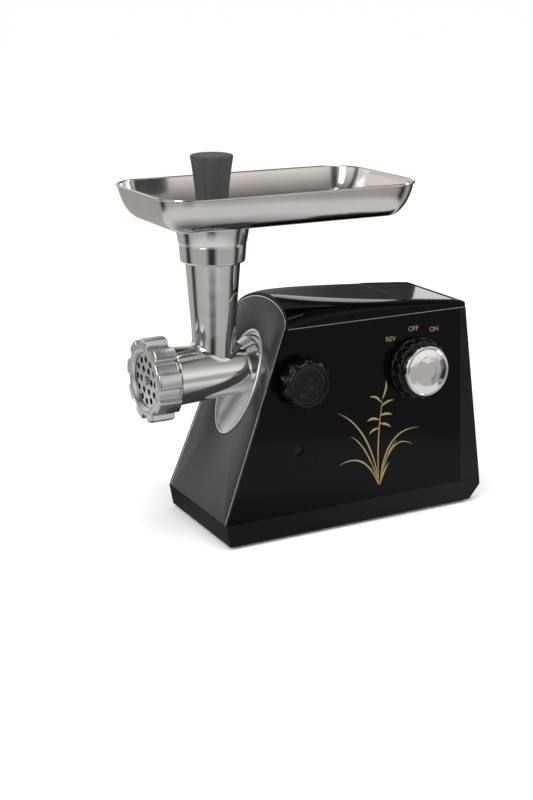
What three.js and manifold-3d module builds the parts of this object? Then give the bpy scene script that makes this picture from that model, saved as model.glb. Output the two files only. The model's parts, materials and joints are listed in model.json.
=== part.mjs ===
// Electric meat grinder: a black motor housing with a polished mincing head plugged into its sloping
// front, a steel tray on the feed tube and a pusher standing in the tube.
// Millimetres. X runs back along the barrel, Y across, Z up. Pieces are laid out from the feed tube's
// axis (x = 0), the barrel's middle plane (y = 0) and the table (z = 0); the last lines move the
// whole object so that its origin is the bottom centre of its bounding box.
import * as THREE from 'three';
import { mergeVertices } from 'three/addons/utils/BufferGeometryUtils.js';
import Module from 'manifold-3d';

const wasm = await Module();
wasm.setup();

const degrees = Math.PI / 180;

// ---------------------------------------------------------------- clearances
const seat = 0.3;             // between two pieces that touch
const running = 0.4;          // around a shaft that turns in a bore

// ---------------------------------------------------------------- housing
const axisZ = 152.4;          // height of the barrel above the table
const footHeight = 3;
const footRadius = 9;
const wall = 2.5;
const floorThickness = 3;
const bodyWidth = 127;        // across the side panels at the skirt line
const sideLean = 3.9 * degrees;
const skirtTop = 24;          // where the base pan meets the panels
const seamHeight = axisZ + 44.6;        // where the panels meet the top cover
const crestFront = seamHeight + 22;
const crestRear = seamHeight + 5.5;
const fasciaFootX = -19.7;
const fasciaSlant = 21.2 * degrees;
const fasciaThickness = 3;
const baseFrontX = fasciaFootX + 4;
const panelRearX = 237;
const backTopX = panelRearX + 6;
const backLean = 5.6 * degrees;
const heelHeight = 17;        // the back is widest here, and cut away below
const heelRun = 12;

// ---------------------------------------------------------------- plate, knife and ring nut
const plateRadius = 26.9;
const plateThickness = 5;
const knifeThickness = 6;
const ringFrontX = -71;
const ringLength = 22.4;
const ringLip = 3;
const lugCount = 9;
const lugTilt = 11 * degrees;
const ringMouthRadius = plateRadius - 2.2;
const threadRadius = plateRadius + 3.5;
const ringRadius = threadRadius + 3.2;
const lugRadius = ringRadius + 5;

// ---------------------------------------------------------------- auger
const flightRadius = 20;
const flightPitch = 26;
const hubRadius = 8;
const augerRearX = 20;
const shaftRadius = 8.5;
const tailLength = 17;
const tailAcrossFlats = 12;
const knifeSquare = 8;
const studRadius = 4;

// ---------------------------------------------------------------- mincing head
const boreRadius = flightRadius + running;
const barrelFrontRadius = boreRadius + 6.8;
const barrelRearRadius = boreRadius + 3;
const barrelRearX = 28;
const flangeFrontX = 34;
const flangeRearX = flangeFrontX + 10.2;
const neckRadius = 22;
const neckRearX = flangeRearX + 25.8;
const flangeRadius = neckRadius + 6;
const tailX = neckRearX + 1;

// ---------------------------------------------------------------- pusher, feed tube and tray
const pusherStemRadius = 16.8;
const pusherStemLength = 100;
const pusherCollar = 6.5;
const pusherHandle = 52;
const pusherTopRadius = 19.5;
const pusherWaistRadius = 14;
const tubeBoreFoot = pusherStemRadius + 1.2;
const tubeBoreTop = tubeBoreFoot + 3;
const tubeFootRadius = tubeBoreFoot + 2.5;
const tubeTopRadius = tubeBoreTop + 4.2;
const trayNeckRadius = tubeBoreTop + 1.2;
const bandRadius = trayNeckRadius + 7.1;      // the thick band round the tube's mouth
const mouthRadius = trayNeckRadius + 11.8;
const pusherCollarRadius = trayNeckRadius + 2.8;
const trayFrontX = -73.2;
const trayLength = 256;
const trayWidth = 144.4;
const trayCorner = 33;
const trayRimZ = axisZ + 170.6;
const trayDepth = 31.7;
const trayWall = 1.2;
const trayFloorZ = trayRimZ - trayDepth;
const bandLow = trayFloorZ - 35.3;
const bandHigh = bandLow + 16;

// ---------------------------------------------------------------- knobs on the right-hand panel
const dialX = 185.5;
const dialZ = axisZ - 7.4;
const dialRadius = 29.5;
const dialHeight = 23;
const lockX = 60;
const lockZ = axisZ - 3.9;
const lockRadius = 24;
const lockHeight = 18;
const lockScrewRadius = 4;
const plugX = 56.5;
const plugZ = axisZ - 68.4;
const plugRadius = 5;

// ---------------------------------------------------------------- gear train, three stages
const caseFrontX = neckRearX + 2;
const caseWall = 3;
const coverThickness = 3;
const gearDepths = [12, 8, 7];
const gearGap = 2;
const outputFrom = caseFrontX + caseWall + 5;
const middleFrom = outputFrom + gearDepths[0] + gearGap;
const motorFrom = middleFrom + gearDepths[1] + gearGap;
const stages = [
  { module: 1.75, gear: 40, pinion: 10, from: outputFrom, to: outputFrom + gearDepths[0] },
  { module: 1.25, gear: 42, pinion: 10, from: middleFrom, to: middleFrom + gearDepths[1] },
  { module: 1.0, gear: 46, pinion: 10, from: motorFrom, to: motorFrom + gearDepths[2] },
];
const caseRearX = stages[2].to + 1;
const secondShaftY = 18;
const firstShaftY = -12;
const gearShaftRadius = 3;
const motorShaftRadius = 3;
const socketRadius = 11;

// ---------------------------------------------------------------- motor
const statorFrontX = caseRearX + 30;
const statorLength = 40;
const armatureRadius = 19.8;
const statorBore = armatureRadius + 0.7;
const coilThickness = 11;
const statorHalf = statorBore + coilThickness + 1.5;
const coilBar = 7.5;
const rearBracketX = statorFrontX + statorLength + 30;
const bearingRadius = 8;

// ================================================================ making solids

function solidOf(geometry) {
  const bare = geometry.clone();
  bare.deleteAttribute('normal');
  bare.deleteAttribute('uv');
  const merged = mergeVertices(bare, 1e-4);
  const index = merged.index.array;
  const position = merged.attributes.position;
  const corner = [0, 1, 2].map(() => new THREE.Vector3());
  const triangles = [];
  let volume = 0;
  for (let i = 0; i < index.length; i += 3) {
    const [a, b, c] = [index[i], index[i + 1], index[i + 2]];
    if (a === b || b === c || c === a) continue;
    triangles.push([a, b, c]);
    corner[0].fromBufferAttribute(position, a);
    corner[1].fromBufferAttribute(position, b);
    corner[2].fromBufferAttribute(position, c);
    volume += corner[0].dot(corner[1].cross(corner[2]));
  }
  const facingOut = volume > 0 ? triangles : triangles.map(([a, b, c]) => [a, c, b]);
  return new wasm.Manifold(new wasm.Mesh({
    numProp: 3,
    vertProperties: Float32Array.from(position.array),
    triVerts: Uint32Array.from(facingOut.flat()),
  }));
}

function geometryOf(solid) {
  const { vertProperties, triVerts } = solid.getMesh();
  const geometry = new THREE.BufferGeometry();
  geometry.setAttribute('position', new THREE.BufferAttribute(Float32Array.from(vertProperties), 3));
  geometry.setIndex(Array.from(triVerts));
  geometry.computeVertexNormals();
  return geometry;
}

const join = (first, ...rest) => rest.reduce((whole, solid) => whole.add(solid), first);
const cut = (first, ...rest) => rest.reduce((whole, solid) => whole.subtract(solid), first);

function reshape(geometry, move) {
  const position = geometry.attributes.position;
  const point = new THREE.Vector3();
  for (let i = 0; i < position.count; i += 1) {
    point.fromBufferAttribute(position, i);
    move(point);
    position.setXYZ(i, point.x, point.y, point.z);
  }
  return geometry;
}

// ================================================================ outlines

const outline = (points) => new THREE.Shape(points.map(([u, v]) => new THREE.Vector2(u, v)));

function ringPoints(count, radiusAt, [u, v] = [0, 0]) {
  return Array.from({ length: count }, (_, i) => {
    const angle = (2 * Math.PI * i) / count;
    const radius = radiusAt(angle, i);
    return [u + radius * Math.cos(angle), v + radius * Math.sin(angle)];
  });
}

const disc = (radius, count = 24, centre = [0, 0]) => outline(ringPoints(count, () => radius, centre));
const box = (u0, v0, u1, v1) => outline([[u0, v0], [u1, v0], [u1, v1], [u0, v1]]);

function oval(halfU, halfV, [u, v], count = 32) {
  return outline(ringPoints(count, () => 1).map(([x, y]) => [u + halfU * x, v + halfV * y]));
}

function roundedBox(halfU, halfV, radius, steps = 6) {
  const points = [];
  [[1, 1], [-1, 1], [-1, -1], [1, -1]].forEach(([signU, signV], quarter) => {
    for (let i = 0; i <= steps; i += 1) {
      const angle = (quarter + i / steps) * Math.PI / 2;
      points.push([
        signU * (halfU - radius) + radius * Math.cos(angle),
        signV * (halfV - radius) + radius * Math.sin(angle),
      ]);
    }
  });
  return outline(points);
}

// Straight-sided teeth, thinner than their spaces, so that a pair turns with backlash.
function gearOutline({ module, teeth, phase }) {
  const pitchRadius = (module * teeth) / 2;
  const root = pitchRadius - 1.2 * module;
  const tip = pitchRadius + 0.9 * module;
  const toothAngle = (2 * Math.PI) / teeth;
  const points = [];
  for (let i = 0; i < teeth; i += 1) {
    const middle = phase + i * toothAngle;
    [[-0.27, root], [-0.12, tip], [0.12, tip], [0.27, root]].forEach(([share, radius]) => {
      const angle = middle + share * toothAngle;
      points.push([radius * Math.cos(angle), radius * Math.sin(angle)]);
    });
  }
  return outline(points);
}

// The tightest closed outline round a set of circles, as [u, v, radius].
function wrapped(circles, margin) {
  const points = circles
    .flatMap(([u, v, radius]) => ringPoints(12, () => radius + margin, [u, v]))
    .sort((a, b) => a[0] - b[0] || a[1] - b[1]);
  const turn = (a, b, c) => (b[0] - a[0]) * (c[1] - a[1]) - (b[1] - a[1]) * (c[0] - a[0]);
  const half = (ordered) => ordered.reduce((chain, point) => {
    while (chain.length > 1 && turn(chain.at(-2), chain.at(-1), point) <= 1e-6) chain.pop();
    chain.push(point);
    return chain;
  }, []).slice(0, -1);
  return outline([...half(points), ...half([...points].reverse())]);
}

// ================================================================ prisms and turned pieces

const unitX = new THREE.Vector3(1, 0, 0);
const unitY = new THREE.Vector3(0, 1, 0);
const unitZ = new THREE.Vector3(0, 0, 1);
const backwards = new THREE.Matrix4().makeBasis(unitY, unitZ, unitX);
const sideways = new THREE.Matrix4().makeBasis(unitX, unitZ, unitY.clone().negate());

function extruded(shape, depth, steps = 1) {
  return new THREE.ExtrudeGeometry(shape, { depth, steps, bevelEnabled: false });
}

// A (y, z) outline run along X, an (x, z) outline run across Y, and an (x, y) outline run up Z.
function alongX(shape, from, to, [y, z] = [0, 0]) {
  return solidOf(extruded(shape, to - from).applyMatrix4(backwards).translate(from, y, z));
}

function acrossY(shape, from, to, [x, z] = [0, 0]) {
  return solidOf(extruded(shape, to - from).applyMatrix4(sideways).translate(x, to, z));
}

function upZ(shape, from, to, [x, y] = [0, 0]) {
  return solidOf(extruded(shape, to - from).translate(x, y, from));
}

function lathe(profile, segments) {
  const points = [...profile, profile[0]].map(([along, radius]) => new THREE.Vector2(radius, along));
  return new THREE.LatheGeometry(points, segments);
}

const turnedX = (profile, segments = 24, [y, z] = [0, 0]) => (
  solidOf(lathe(profile, segments).rotateZ(-Math.PI / 2).rotateX(Math.PI).translate(0, y, z))
);

const turnedZ = (profile, segments = 24, [x, y] = [0, 0]) => (
  solidOf(lathe(profile, segments).rotateX(Math.PI / 2).translate(x, y, 0))
);

const rodX = (radius, from, to, centre, count = 16) => alongX(disc(radius, count), from, to, centre);
const rodZ = (radius, from, to, centre, count = 16) => upZ(disc(radius, count), from, to, centre);
const rodY = (radius, from, to, centre, count = 16) => acrossY(disc(radius, count), from, to, centre);

const blockOf = ([x0, y0, z0], [x1, y1, z1]) => solidOf(
  new THREE.BoxGeometry(x1 - x0, y1 - y0, z1 - z0)
    .translate((x0 + x1) / 2, (y0 + y1) / 2, (z0 + z1) / 2),
);

// ================================================================ materials and the scene graph

const finish = (color, roughness, metalness = 0) => (
  new THREE.MeshStandardMaterial({ color, roughness, metalness })
);
const blackGloss = finish(0x0b0b0c, 0.08);
const blackSatin = finish(0x161617, 0.45);
const greyMetallic = finish(0x4c4c4d, 0.35, 0.4);
const polishedAluminium = finish(0xc9c9c9, 0.12, 1);
const satinAluminium = finish(0xb9b9b9, 0.35, 1);
const polishedSteel = finish(0xd2cfcc, 0.15, 1);
const darkSteel = finish(0x77787a, 0.4, 1);
const chrome = finish(0xe8e8e8, 0.04, 1);
const charcoal = finish(0x3c3f40, 0.55);
const rubber = finish(0x1a1a1a, 0.85);
const nylon = finish(0xe7e4da, 0.5);
const brass = finish(0xb89550, 0.35, 1);
const copper = finish(0xa8602f, 0.4, 1);
const board = finish(0x1d5a35, 0.6);
const carbon = finish(0x2b2b2b, 0.7);

const grinder = new THREE.Group();

function piece(name, solid, material, parent = grinder) {
  const mesh = new THREE.Mesh(geometryOf(solid), material);
  mesh.name = name;
  parent.add(mesh);
  return mesh;
}

// ================================================================ housing

const halfWidth = (z) => bodyWidth / 2 - Math.max(0, z - skirtTop) * Math.tan(sideLean);
const fasciaX = (z) => fasciaFootX + (z - skirtTop) * Math.tan(fasciaSlant);
const backX = (z) => backTopX + (crestRear - z) * Math.tan(backLean);

// An (x, z) outline across the housing's full width less an inset each side, with its leaning sides.
function acrossBody(points, inset) {
  const geometry = extruded(outline(points), 2).applyMatrix4(sideways).translate(0, 1, 0);
  return solidOf(reshape(geometry, (point) => { point.y *= halfWidth(point.z) - inset; }));
}

// One leaning side wall with an (x, z) outline; side is -1 for the right-hand panel.
function sideWall(points, side) {
  const geometry = extruded(outline(points), 1).applyMatrix4(sideways).translate(0, 1, 0);
  return solidOf(reshape(geometry, (point) => {
    point.y = side * (halfWidth(point.z) - wall * (1 - point.y));
  }));
}

const footPlaces = [
  ['front_right', baseFrontX + 22, -1],
  ['front_left', baseFrontX + 22, 1],
  ['rear_right', panelRearX - 8, -1],
  ['rear_left', panelRearX - 8, 1],
].map(([name, x, side]) => ({ name, x, y: side * (bodyWidth / 2 - footRadius - 5) }));

const screwPlaces = [
  ['front_right', baseFrontX + 44, -1],
  ['front_left', baseFrontX + 44, 1],
  ['rear_right', panelRearX - 32, -1],
  ['rear_left', panelRearX - 32, 1],
].map(([name, x, side]) => ({ name, x, side, y: side * (bodyWidth / 2 - wall - 6.5) }));

const floorTop = footHeight + floorThickness;
const footStemRadius = 3;
const screwHeadRadius = 3.8;
const screwShankRadius = 1.9;
const bossTop = skirtTop + 18;

function makeBase() {
  const heelX = backX(heelHeight);
  const outer = acrossBody([
    [baseFrontX, footHeight], [heelX - heelRun, footHeight], [heelX, heelHeight],
    [backX(skirtTop), skirtTop], [fasciaFootX, skirtTop],
  ], 0);
  const inner = acrossBody([
    [baseFrontX + wall, floorTop], [heelX - heelRun - wall, floorTop], [heelX - wall, heelHeight],
    [backX(skirtTop) - wall, skirtTop + 1], [fasciaFootX + wall, skirtTop + 1],
  ], wall);
  const holes = [
    ...footPlaces.map(({ x, y }) => rodZ(footStemRadius + seat, 0, 9, [x, y], 12)),
    ...screwPlaces.map(({ x, y }) => rodZ(screwHeadRadius + seat, 0, footHeight + 1.8, [x, y], 12)),
    ...screwPlaces.map(({ x, y }) => rodZ(screwShankRadius + seat, 0, 9, [x, y], 12)),
  ];
  const ventPitch = 9;
  const vents = Array.from({ length: 6 }, (_, i) => statorFrontX + i * ventPitch)
    .map((x) => blockOf([x, -28, 0], [x + 4, 28, 9]));
  return cut(outer, inner, ...holes, ...vents);
}

piece('base_pan', makeBase(), blackSatin);

footPlaces.forEach(({ name, x, y }) => {
  const foot = turnedZ([
    [0, 0], [0, footRadius - 1], [footHeight - seat, footRadius], [footHeight - seat, footStemRadius],
    [floorTop + 2, footStemRadius], [floorTop + 2, 0],
  ], 12, [x, y]);
  piece(`foot_${name}`, foot, rubber);
});

screwPlaces.forEach(({ name, x, y }) => {
  const screw = turnedZ([
    [footHeight + 0.2, 0], [footHeight + 0.2, screwHeadRadius], [footHeight + 1.5, screwHeadRadius],
    [footHeight + 1.5, screwShankRadius], [skirtTop, screwShankRadius], [skirtTop, 0],
  ], 8, [x, y]);
  piece(`base_screw_${name}`, screw, darkSteel);
});

// The side panels stand on the base pan, and their inner bosses take its screws.
const panelLow = skirtTop + seat;
const panelHigh = seamHeight - seat;
const panelOutline = [
  [fasciaX(panelLow), panelLow], [panelRearX, panelLow],
  [panelRearX, panelHigh], [fasciaX(panelHigh), panelHigh],
];

function screwBoss({ x, y, side }) {
  const reach = side * (bodyWidth / 2 - wall - seat);
  const [y0, y1] = [y - side * 5, reach].sort((a, b) => a - b);
  const boss = blockOf([x - 5, y0, floorTop + seat], [x + 5, y1, bossTop]);
  return cut(boss, rodZ(screwShankRadius + seat, 0, skirtTop + 2, [x, y], 12));
}

function makeSidePanel(side) {
  const bosses = screwPlaces.filter((place) => place.side === side).map(screwBoss);
  return join(sideWall(panelOutline, side), ...bosses);
}

const [nearSide, panelInside] = [-bodyWidth, -30];
piece('right_side_panel', cut(
  makeSidePanel(-1),
  rodY(5, nearSide, panelInside, [dialX, dialZ]),
  rodY(lockScrewRadius + 0.8, nearSide, panelInside, [lockX, lockZ]),
  rodY(plugRadius + seat, nearSide, panelInside, [plugX, plugZ]),
), blackGloss);
piece('left_side_panel', makeSidePanel(1), blackGloss);

// The plug closes the hole over the panel's fixing screw, just below the surface.
const plugFace = halfWidth(plugZ) - 1;
piece('screw_plug', acrossY(disc(plugRadius, 20), -plugFace, -(plugFace - 5), [plugX, plugZ]), blackSatin);

// The roof's section: a round arch at the front that flattens to a straight edge at the back.
const roofSteps = 6;
const arcSteps = 14;

function roofPoint(angle, share, inset) {
  const flat = Math.max(0, share);
  const roundness = 1.9 + 10 * flat;
  const rise = THREE.MathUtils.lerp(crestFront, crestRear, flat) - seamHeight - inset;
  const reach = halfWidth(seamHeight) - inset;
  const fold = (value) => Math.sign(value) * Math.abs(value) ** (2 / roundness);
  return [reach * fold(Math.sin(angle)), seamHeight + Math.max(0, rise * fold(Math.cos(angle)))];
}

// share runs from 0 at the fascia to 1 at the back.
function roofBlock(inset, shareFrom, shareTo, drop) {
  const arch = Array.from({ length: arcSteps + 1 }, (_, i) => {
    const angle = (i / arcSteps - 0.5) * Math.PI;
    return [Math.sin(angle), Math.cos(angle)];
  });
  const geometry = extruded(outline(arch.reverse()), 1, roofSteps).applyMatrix4(backwards);
  return solidOf(reshape(geometry, (point) => {
    const share = THREE.MathUtils.lerp(shareFrom, shareTo, point.x);
    const onSeam = point.z < 1e-6;
    const [y, z] = roofPoint(Math.atan2(point.y, point.z), share, inset);
    const height = onSeam ? seamHeight - drop : z;
    point.set(THREE.MathUtils.lerp(fasciaX(height), backX(height), share), y, height);
  }));
}

const wallShare = wall / (backTopX - fasciaX(seamHeight));
piece('top_cover', cut(roofBlock(0, 0, 1, 0), roofBlock(wall, -0.05, 1 - wallShare, 1)), blackGloss);

// ---------------------------------------------------------------- back of the housing
const rearLow = skirtTop + seat;
const glandY = 32;
const glandZ = 52;
const glandRadius = 6;
const ventLow = 78;
const ventCount = 9;
const ventStep = 8;

function makeRearCover() {
  const front = panelRearX + seat;
  const outer = acrossBody([
    [front, rearLow], [backX(rearLow), rearLow], [backX(panelHigh), panelHigh], [front, panelHigh],
  ], 0);
  const inner = acrossBody([
    [front - 1, rearLow - 1], [backX(rearLow - 1) - wall, rearLow - 1],
    [backX(panelHigh + 1) - wall, panelHigh + 1], [front - 1, panelHigh + 1],
  ], wall);
  const vents = Array.from({ length: ventCount }, (_, i) => {
    const z = ventLow + i * ventStep;
    return blockOf([backTopX - 2, -32, z], [backTopX + 40, 32, z + 3]);
  });
  return cut(outer, inner, ...vents, rodX(glandRadius + seat, backTopX, backTopX + 40, [glandY, glandZ], 20));
}

piece('rear_cover', makeRearCover(), blackSatin);

const glandFace = backX(glandZ - glandRadius - 2) + seat;
piece('cord_gland', turnedX([
  [glandFace, glandRadius + 2], [glandFace + 1.6, glandRadius + 1.4], [glandFace + 1.6, 3.4],
  [glandFace - 10, 3.4], [glandFace - 10, glandRadius], [glandFace, glandRadius],
], 16, [glandY, glandZ]), blackSatin);

// ---------------------------------------------------------------- sloping fascia and its oval dish
const slope = new THREE.Vector3(Math.sin(fasciaSlant), 0, Math.cos(fasciaSlant));
const inward = new THREE.Vector3(Math.cos(fasciaSlant), 0, -Math.sin(fasciaSlant));
const onFascia = new THREE.Matrix4().makeBasis(unitY, slope, inward);
onFascia.setPosition(fasciaFootX, 0, skirtTop);
const upSlope = (z) => (z - skirtTop) / Math.cos(fasciaSlant);

// A (y, distance up the slope) outline sunk into the fascia from one depth to another.
function intoFascia(shape, from, to) {
  return solidOf(extruded(shape, to - from).translate(0, 0, from).applyMatrix4(onFascia));
}

const socketHoleRadius = flangeRadius + 1;
const socketHole = rodX(socketHoleRadius, -60, 100, [0, axisZ], 32);
const dishCentre = [0, upSlope(axisZ - 13.4)];
const dishHalfWidth = flangeRadius + 4;
const dishHalfLength = dishHalfWidth + 19.5;
const dishRim = 2;
const dishDepth = 3;

function makeFascia() {
  const inset = wall + 2 * seat;
  const sides = [panelLow, panelHigh].map((z) => [halfWidth(z) - inset, upSlope(z)]);
  const arch = Array.from({ length: arcSteps - 1 }, (_, i) => {
    const [y, z] = roofPoint((0.5 - (i + 1) / arcSteps) * Math.PI, 0, inset);
    return [y, upSlope(z)];
  });
  const mirrored = [...sides].reverse().map(([y, v]) => [-y, v]);
  const plate = intoFascia(outline([...sides, ...arch, ...mirrored]), 0, fasciaThickness);
  const dishHole = intoFascia(oval(dishHalfWidth + seat, dishHalfLength + seat, dishCentre), -1, 9);
  const belowPanels = blockOf([fasciaFootX - 9, -bodyWidth, 0], [fasciaFootX + 9, bodyWidth, panelLow]);
  return cut(plate, dishHole, socketHole, belowPanels);
}

piece('fascia', makeFascia(), greyMetallic);

const dish = cut(
  intoFascia(oval(dishHalfWidth, dishHalfLength, dishCentre), 0, dishDepth + 1.5),
  intoFascia(oval(dishHalfWidth - dishRim, dishHalfLength - dishRim, dishCentre), -1, dishDepth),
  socketHole,
);
piece('socket_dish', dish, satinAluminium);

// ================================================================ gear train

// Shafts run along X. Each stage's pinion drives the gear of the stage before it.
const centreDistance = ({ module, gear, pinion }) => (module * (gear + pinion)) / 2;

function below([y, z], distance, nextY) {
  return [nextY, z - Math.sqrt(distance ** 2 - (nextY - y) ** 2)];
}

const outputShaft = [0, axisZ];
const secondShaft = below(outputShaft, centreDistance(stages[0]), secondShaftY);
const firstShaft = below(secondShaft, centreDistance(stages[1]), firstShaftY);
const motorShaft = below(firstShaft, centreDistance(stages[2]), 0);
const shafts = [outputShaft, secondShaft, firstShaft, motorShaft];

// A gear shows a space, and its pinion a tooth, on the line between their centres.
function toothed(stage, gearShaft, pinionShaft, isGear) {
  const direction = Math.atan2(pinionShaft[1] - gearShaft[1], pinionShaft[0] - gearShaft[0]);
  const teeth = isGear ? stage.gear : stage.pinion;
  const phase = isGear ? direction + Math.PI / teeth : direction + Math.PI;
  const wheel = gearOutline({ module: stage.module, teeth, phase });
  return alongX(wheel, stage.from, stage.to, isGear ? gearShaft : pinionShaft);
}

const gearOf = (i) => toothed(stages[i], shafts[i], shafts[i + 1], true);
const pinionOf = (i) => toothed(stages[i], shafts[i], shafts[i + 1], false);

const shaftEndX = caseRearX + coverThickness - 0.5;
const innerFrontX = caseFrontX + caseWall;

function makeIdler(i) {
  const low = stages[i - 1];
  const high = stages[i];
  const hub = rodX(gearShaftRadius + 2, low.to - 1, high.to, shafts[i], 16);
  const bore = rodX(gearShaftRadius + seat, low.from - 1, high.to + 1, shafts[i], 16);
  return cut(join(gearOf(i), pinionOf(i - 1), hub), bore);
}

const idlerShaft = (i) => rodX(gearShaftRadius, caseFrontX + 1, shaftEndX, shafts[i], 16);

const socketBoreRadius = (tailAcrossFlats + 2 * seat) / Math.sqrt(3);
const driveSocket = cut(
  turnedX([
    [caseFrontX + 0.4, 0], [caseFrontX + 0.4, socketRadius], [stages[0].to + 4, socketRadius],
    [stages[0].to + 4, 6], [shaftEndX, 6], [shaftEndX, 0],
  ], 24, outputShaft),
  alongX(disc(socketBoreRadius, 6), caseFrontX - 1, tailX + tailLength + 1.5, outputShaft),
);
piece('drive_socket', driveSocket, darkSteel);
piece('output_gear', cut(
  gearOf(0),
  rodX(socketRadius + seat, 0, caseRearX, outputShaft, 24),
), nylon);
piece('second_gear', makeIdler(1), nylon);
piece('second_shaft', idlerShaft(1), darkSteel);
piece('first_gear', makeIdler(2), nylon);
piece('first_shaft', idlerShaft(2), darkSteel);

// ---------------------------------------------------------------- gearbox with the head's socket
const gearReach = (i) => (stages[i].module * stages[i].gear) / 2 + stages[i].module + 1.5;
const chamber = [
  [...outputShaft, gearReach(0)], [...secondShaft, gearReach(1)],
  [...firstShaft, gearReach(2)], [...motorShaft, bearingRadius + 4],
];
const lugPlaces = [
  { circle: 0, angle: 50 }, { circle: 0, angle: 130 }, { circle: 1, angle: -35 }, { circle: 2, angle: 215 },
].map(({ circle, angle }) => {
  const [y, z, radius] = chamber[circle];
  const reach = radius + caseWall + 2;
  return [y + reach * Math.cos(angle * degrees), z + reach * Math.sin(angle * degrees)];
});
const caseLugRadius = 5;
const caseScrewRadius = 1.6;
const pedestalHalf = 18;
const padRadius = lockScrewRadius + 1;
const bushRadius = lockScrewRadius + 3;
const bushOuterY = -(halfWidth(lockZ) - wall - 6);
const bushInnerY = bushOuterY + 14;

function makeCase() {
  const shell = join(
    alongX(wrapped(chamber, caseWall), caseFrontX, caseRearX),
    ...lugPlaces.map((place) => rodX(caseLugRadius, caseRearX - 14, caseRearX, place, 12)),
    rodX(flangeRadius, flangeRearX + seat, caseFrontX + 1, outputShaft, 24),
    rodY(bushRadius + 3, bushOuterY, -neckRadius - 2, [lockX, lockZ], 20),
    blockOf([flangeRearX - 7, -5, axisZ + neckRadius + 1.3], [flangeRearX + 4, 5, axisZ + flangeRadius - 0.5]),
    blockOf([caseRearX - 20, -pedestalHalf, floorTop + seat], [caseRearX, pedestalHalf, motorShaft[1] - 6]),
  );
  return cut(
    shell,
    alongX(wrapped(chamber, 0), innerFrontX, caseRearX + 1),
    rodX(neckRadius + seat, flangeRearX - 9, neckRearX + 1, outputShaft, 24),
    rodX(shaftRadius + 5, neckRearX, caseFrontX + 0.2, outputShaft, 24),
    rodX(socketRadius + running, neckRearX, caseRearX, outputShaft, 24),
    rodX(gearShaftRadius + running, caseFrontX + 0.6, caseRearX, secondShaft, 20),
    rodX(gearShaftRadius + running, caseFrontX + 0.6, caseRearX, firstShaft, 20),
    rodY(padRadius + 0.6, bushInnerY - 1, 0, [lockX, lockZ], 20),
    rodY(bushRadius + seat, bushOuterY - 1, bushInnerY, [lockX, lockZ], 20),
    ...lugPlaces.map((place) => rodX(caseScrewRadius + seat, caseRearX - 12, caseRearX + 1, place, 8)),
  );
}

const coverFrontX = caseRearX + seat;
const coverRearX = coverFrontX + coverThickness;

function makeCaseCover() {
  const plate = join(
    alongX(wrapped(chamber, caseWall), coverFrontX, coverRearX),
    ...lugPlaces.map((place) => rodX(caseLugRadius, coverFrontX, coverRearX, place, 12)),
    rodX(bearingRadius + 3, coverFrontX, coverRearX + 3, motorShaft),
  );
  return cut(
    plate,
    rodX(6 + running, 0, coverRearX - 0.4, outputShaft, 20),
    rodX(gearShaftRadius + running, 0, coverRearX - 0.4, secondShaft, 20),
    rodX(gearShaftRadius + running, 0, coverRearX - 0.4, firstShaft, 20),
    rodX(bearingRadius + seat, coverFrontX + 1, rearBracketX, motorShaft),
    rodX(6.4, 0, rearBracketX, motorShaft),
    ...lugPlaces.map((place) => rodX(caseScrewRadius + seat, 0, rearBracketX, place, 8)),
  );
}

piece('gearbox_case', makeCase(), satinAluminium);
piece('gearbox_cover', makeCaseCover(), satinAluminium);
lugPlaces.forEach((place, i) => {
  const head = coverRearX + seat;
  piece(`gearbox_screw_${i + 1}`, turnedX([
    [caseRearX - 10, 0], [caseRearX - 10, caseScrewRadius], [head, caseScrewRadius],
    [head, 3.2], [head + 2.2, 3.2], [head + 2.2, 0],
  ], 8, place), darkSteel);
});

// ================================================================ motor

const statorRearX = statorFrontX + statorLength;
const shaftRearX = rearBracketX + 9;
const [motorY, motorZ] = motorShaft;
const pinionStage = stages[2];

piece('motor_shaft', join(
  pinionOf(2),
  rodX(motorShaftRadius, pinionStage.from - 1, shaftRearX, motorShaft, 20),
), darkSteel);

// A round stack with twelve winding slots.
const slotCount = 12;
const armatureOutline = outline(ringPoints(slotCount * 4, (_, i) => (
  i % 4 === 3 ? armatureRadius - 6 : armatureRadius
)));
const shaftBore = (from, to) => rodX(motorShaftRadius + seat, from - 1, to + 1, motorShaft, 20);
const onShaft = (solid, from, to) => cut(solid, shaftBore(from, to));

piece('armature', onShaft(
  alongX(armatureOutline, statorFrontX, statorRearX, motorShaft), statorFrontX, statorRearX,
), darkSteel);

const commutatorX = statorRearX + 12;
piece('commutator', onShaft(
  rodX(11, commutatorX, commutatorX + 13, motorShaft), commutatorX, commutatorX + 13,
), copper);

const fanX = coverRearX + 5;
const fanDepth = 10;
const fanRadius = 28;
const bladeCount = 10;

function makeFan() {
  const disk = rodX(fanRadius, fanX + fanDepth - 2, fanX + fanDepth, motorShaft);
  const hub = rodX(8, fanX, fanX + fanDepth, motorShaft, 20);
  const blades = Array.from({ length: bladeCount }, (_, i) => {
    const blade = extruded(box(6, -0.8, fanRadius - 1, 0.8), fanDepth - 1)
      .rotateZ((i * 2 * Math.PI) / bladeCount)
      .applyMatrix4(backwards)
      .translate(fanX, motorY, motorZ);
    return solidOf(blade);
  });
  return onShaft(join(disk, hub, ...blades), fanX, fanX + fanDepth);
}

piece('cooling_fan', makeFan(), blackSatin);

const bearing = (from) => cut(
  rodX(bearingRadius, from, from + 5, motorShaft), shaftBore(from, from + 5),
);
piece('front_bearing', bearing(coverFrontX + 1 + seat), darkSteel);
piece('rear_bearing', bearing(rearBracketX + 1.3), darkSteel);

// Laminated field stack: two poles, each with a coil in a pair of windows.
const windowY = [14.2, statorBore + 5.8];
const windowZ = [13.5, statorBore + 5.8];
const poleHalf = windowY[0] + seat;
const coilLow = 15;
const coilHigh = windowZ[1] - seat;
const coilSide = windowY[1] - seat;

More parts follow.
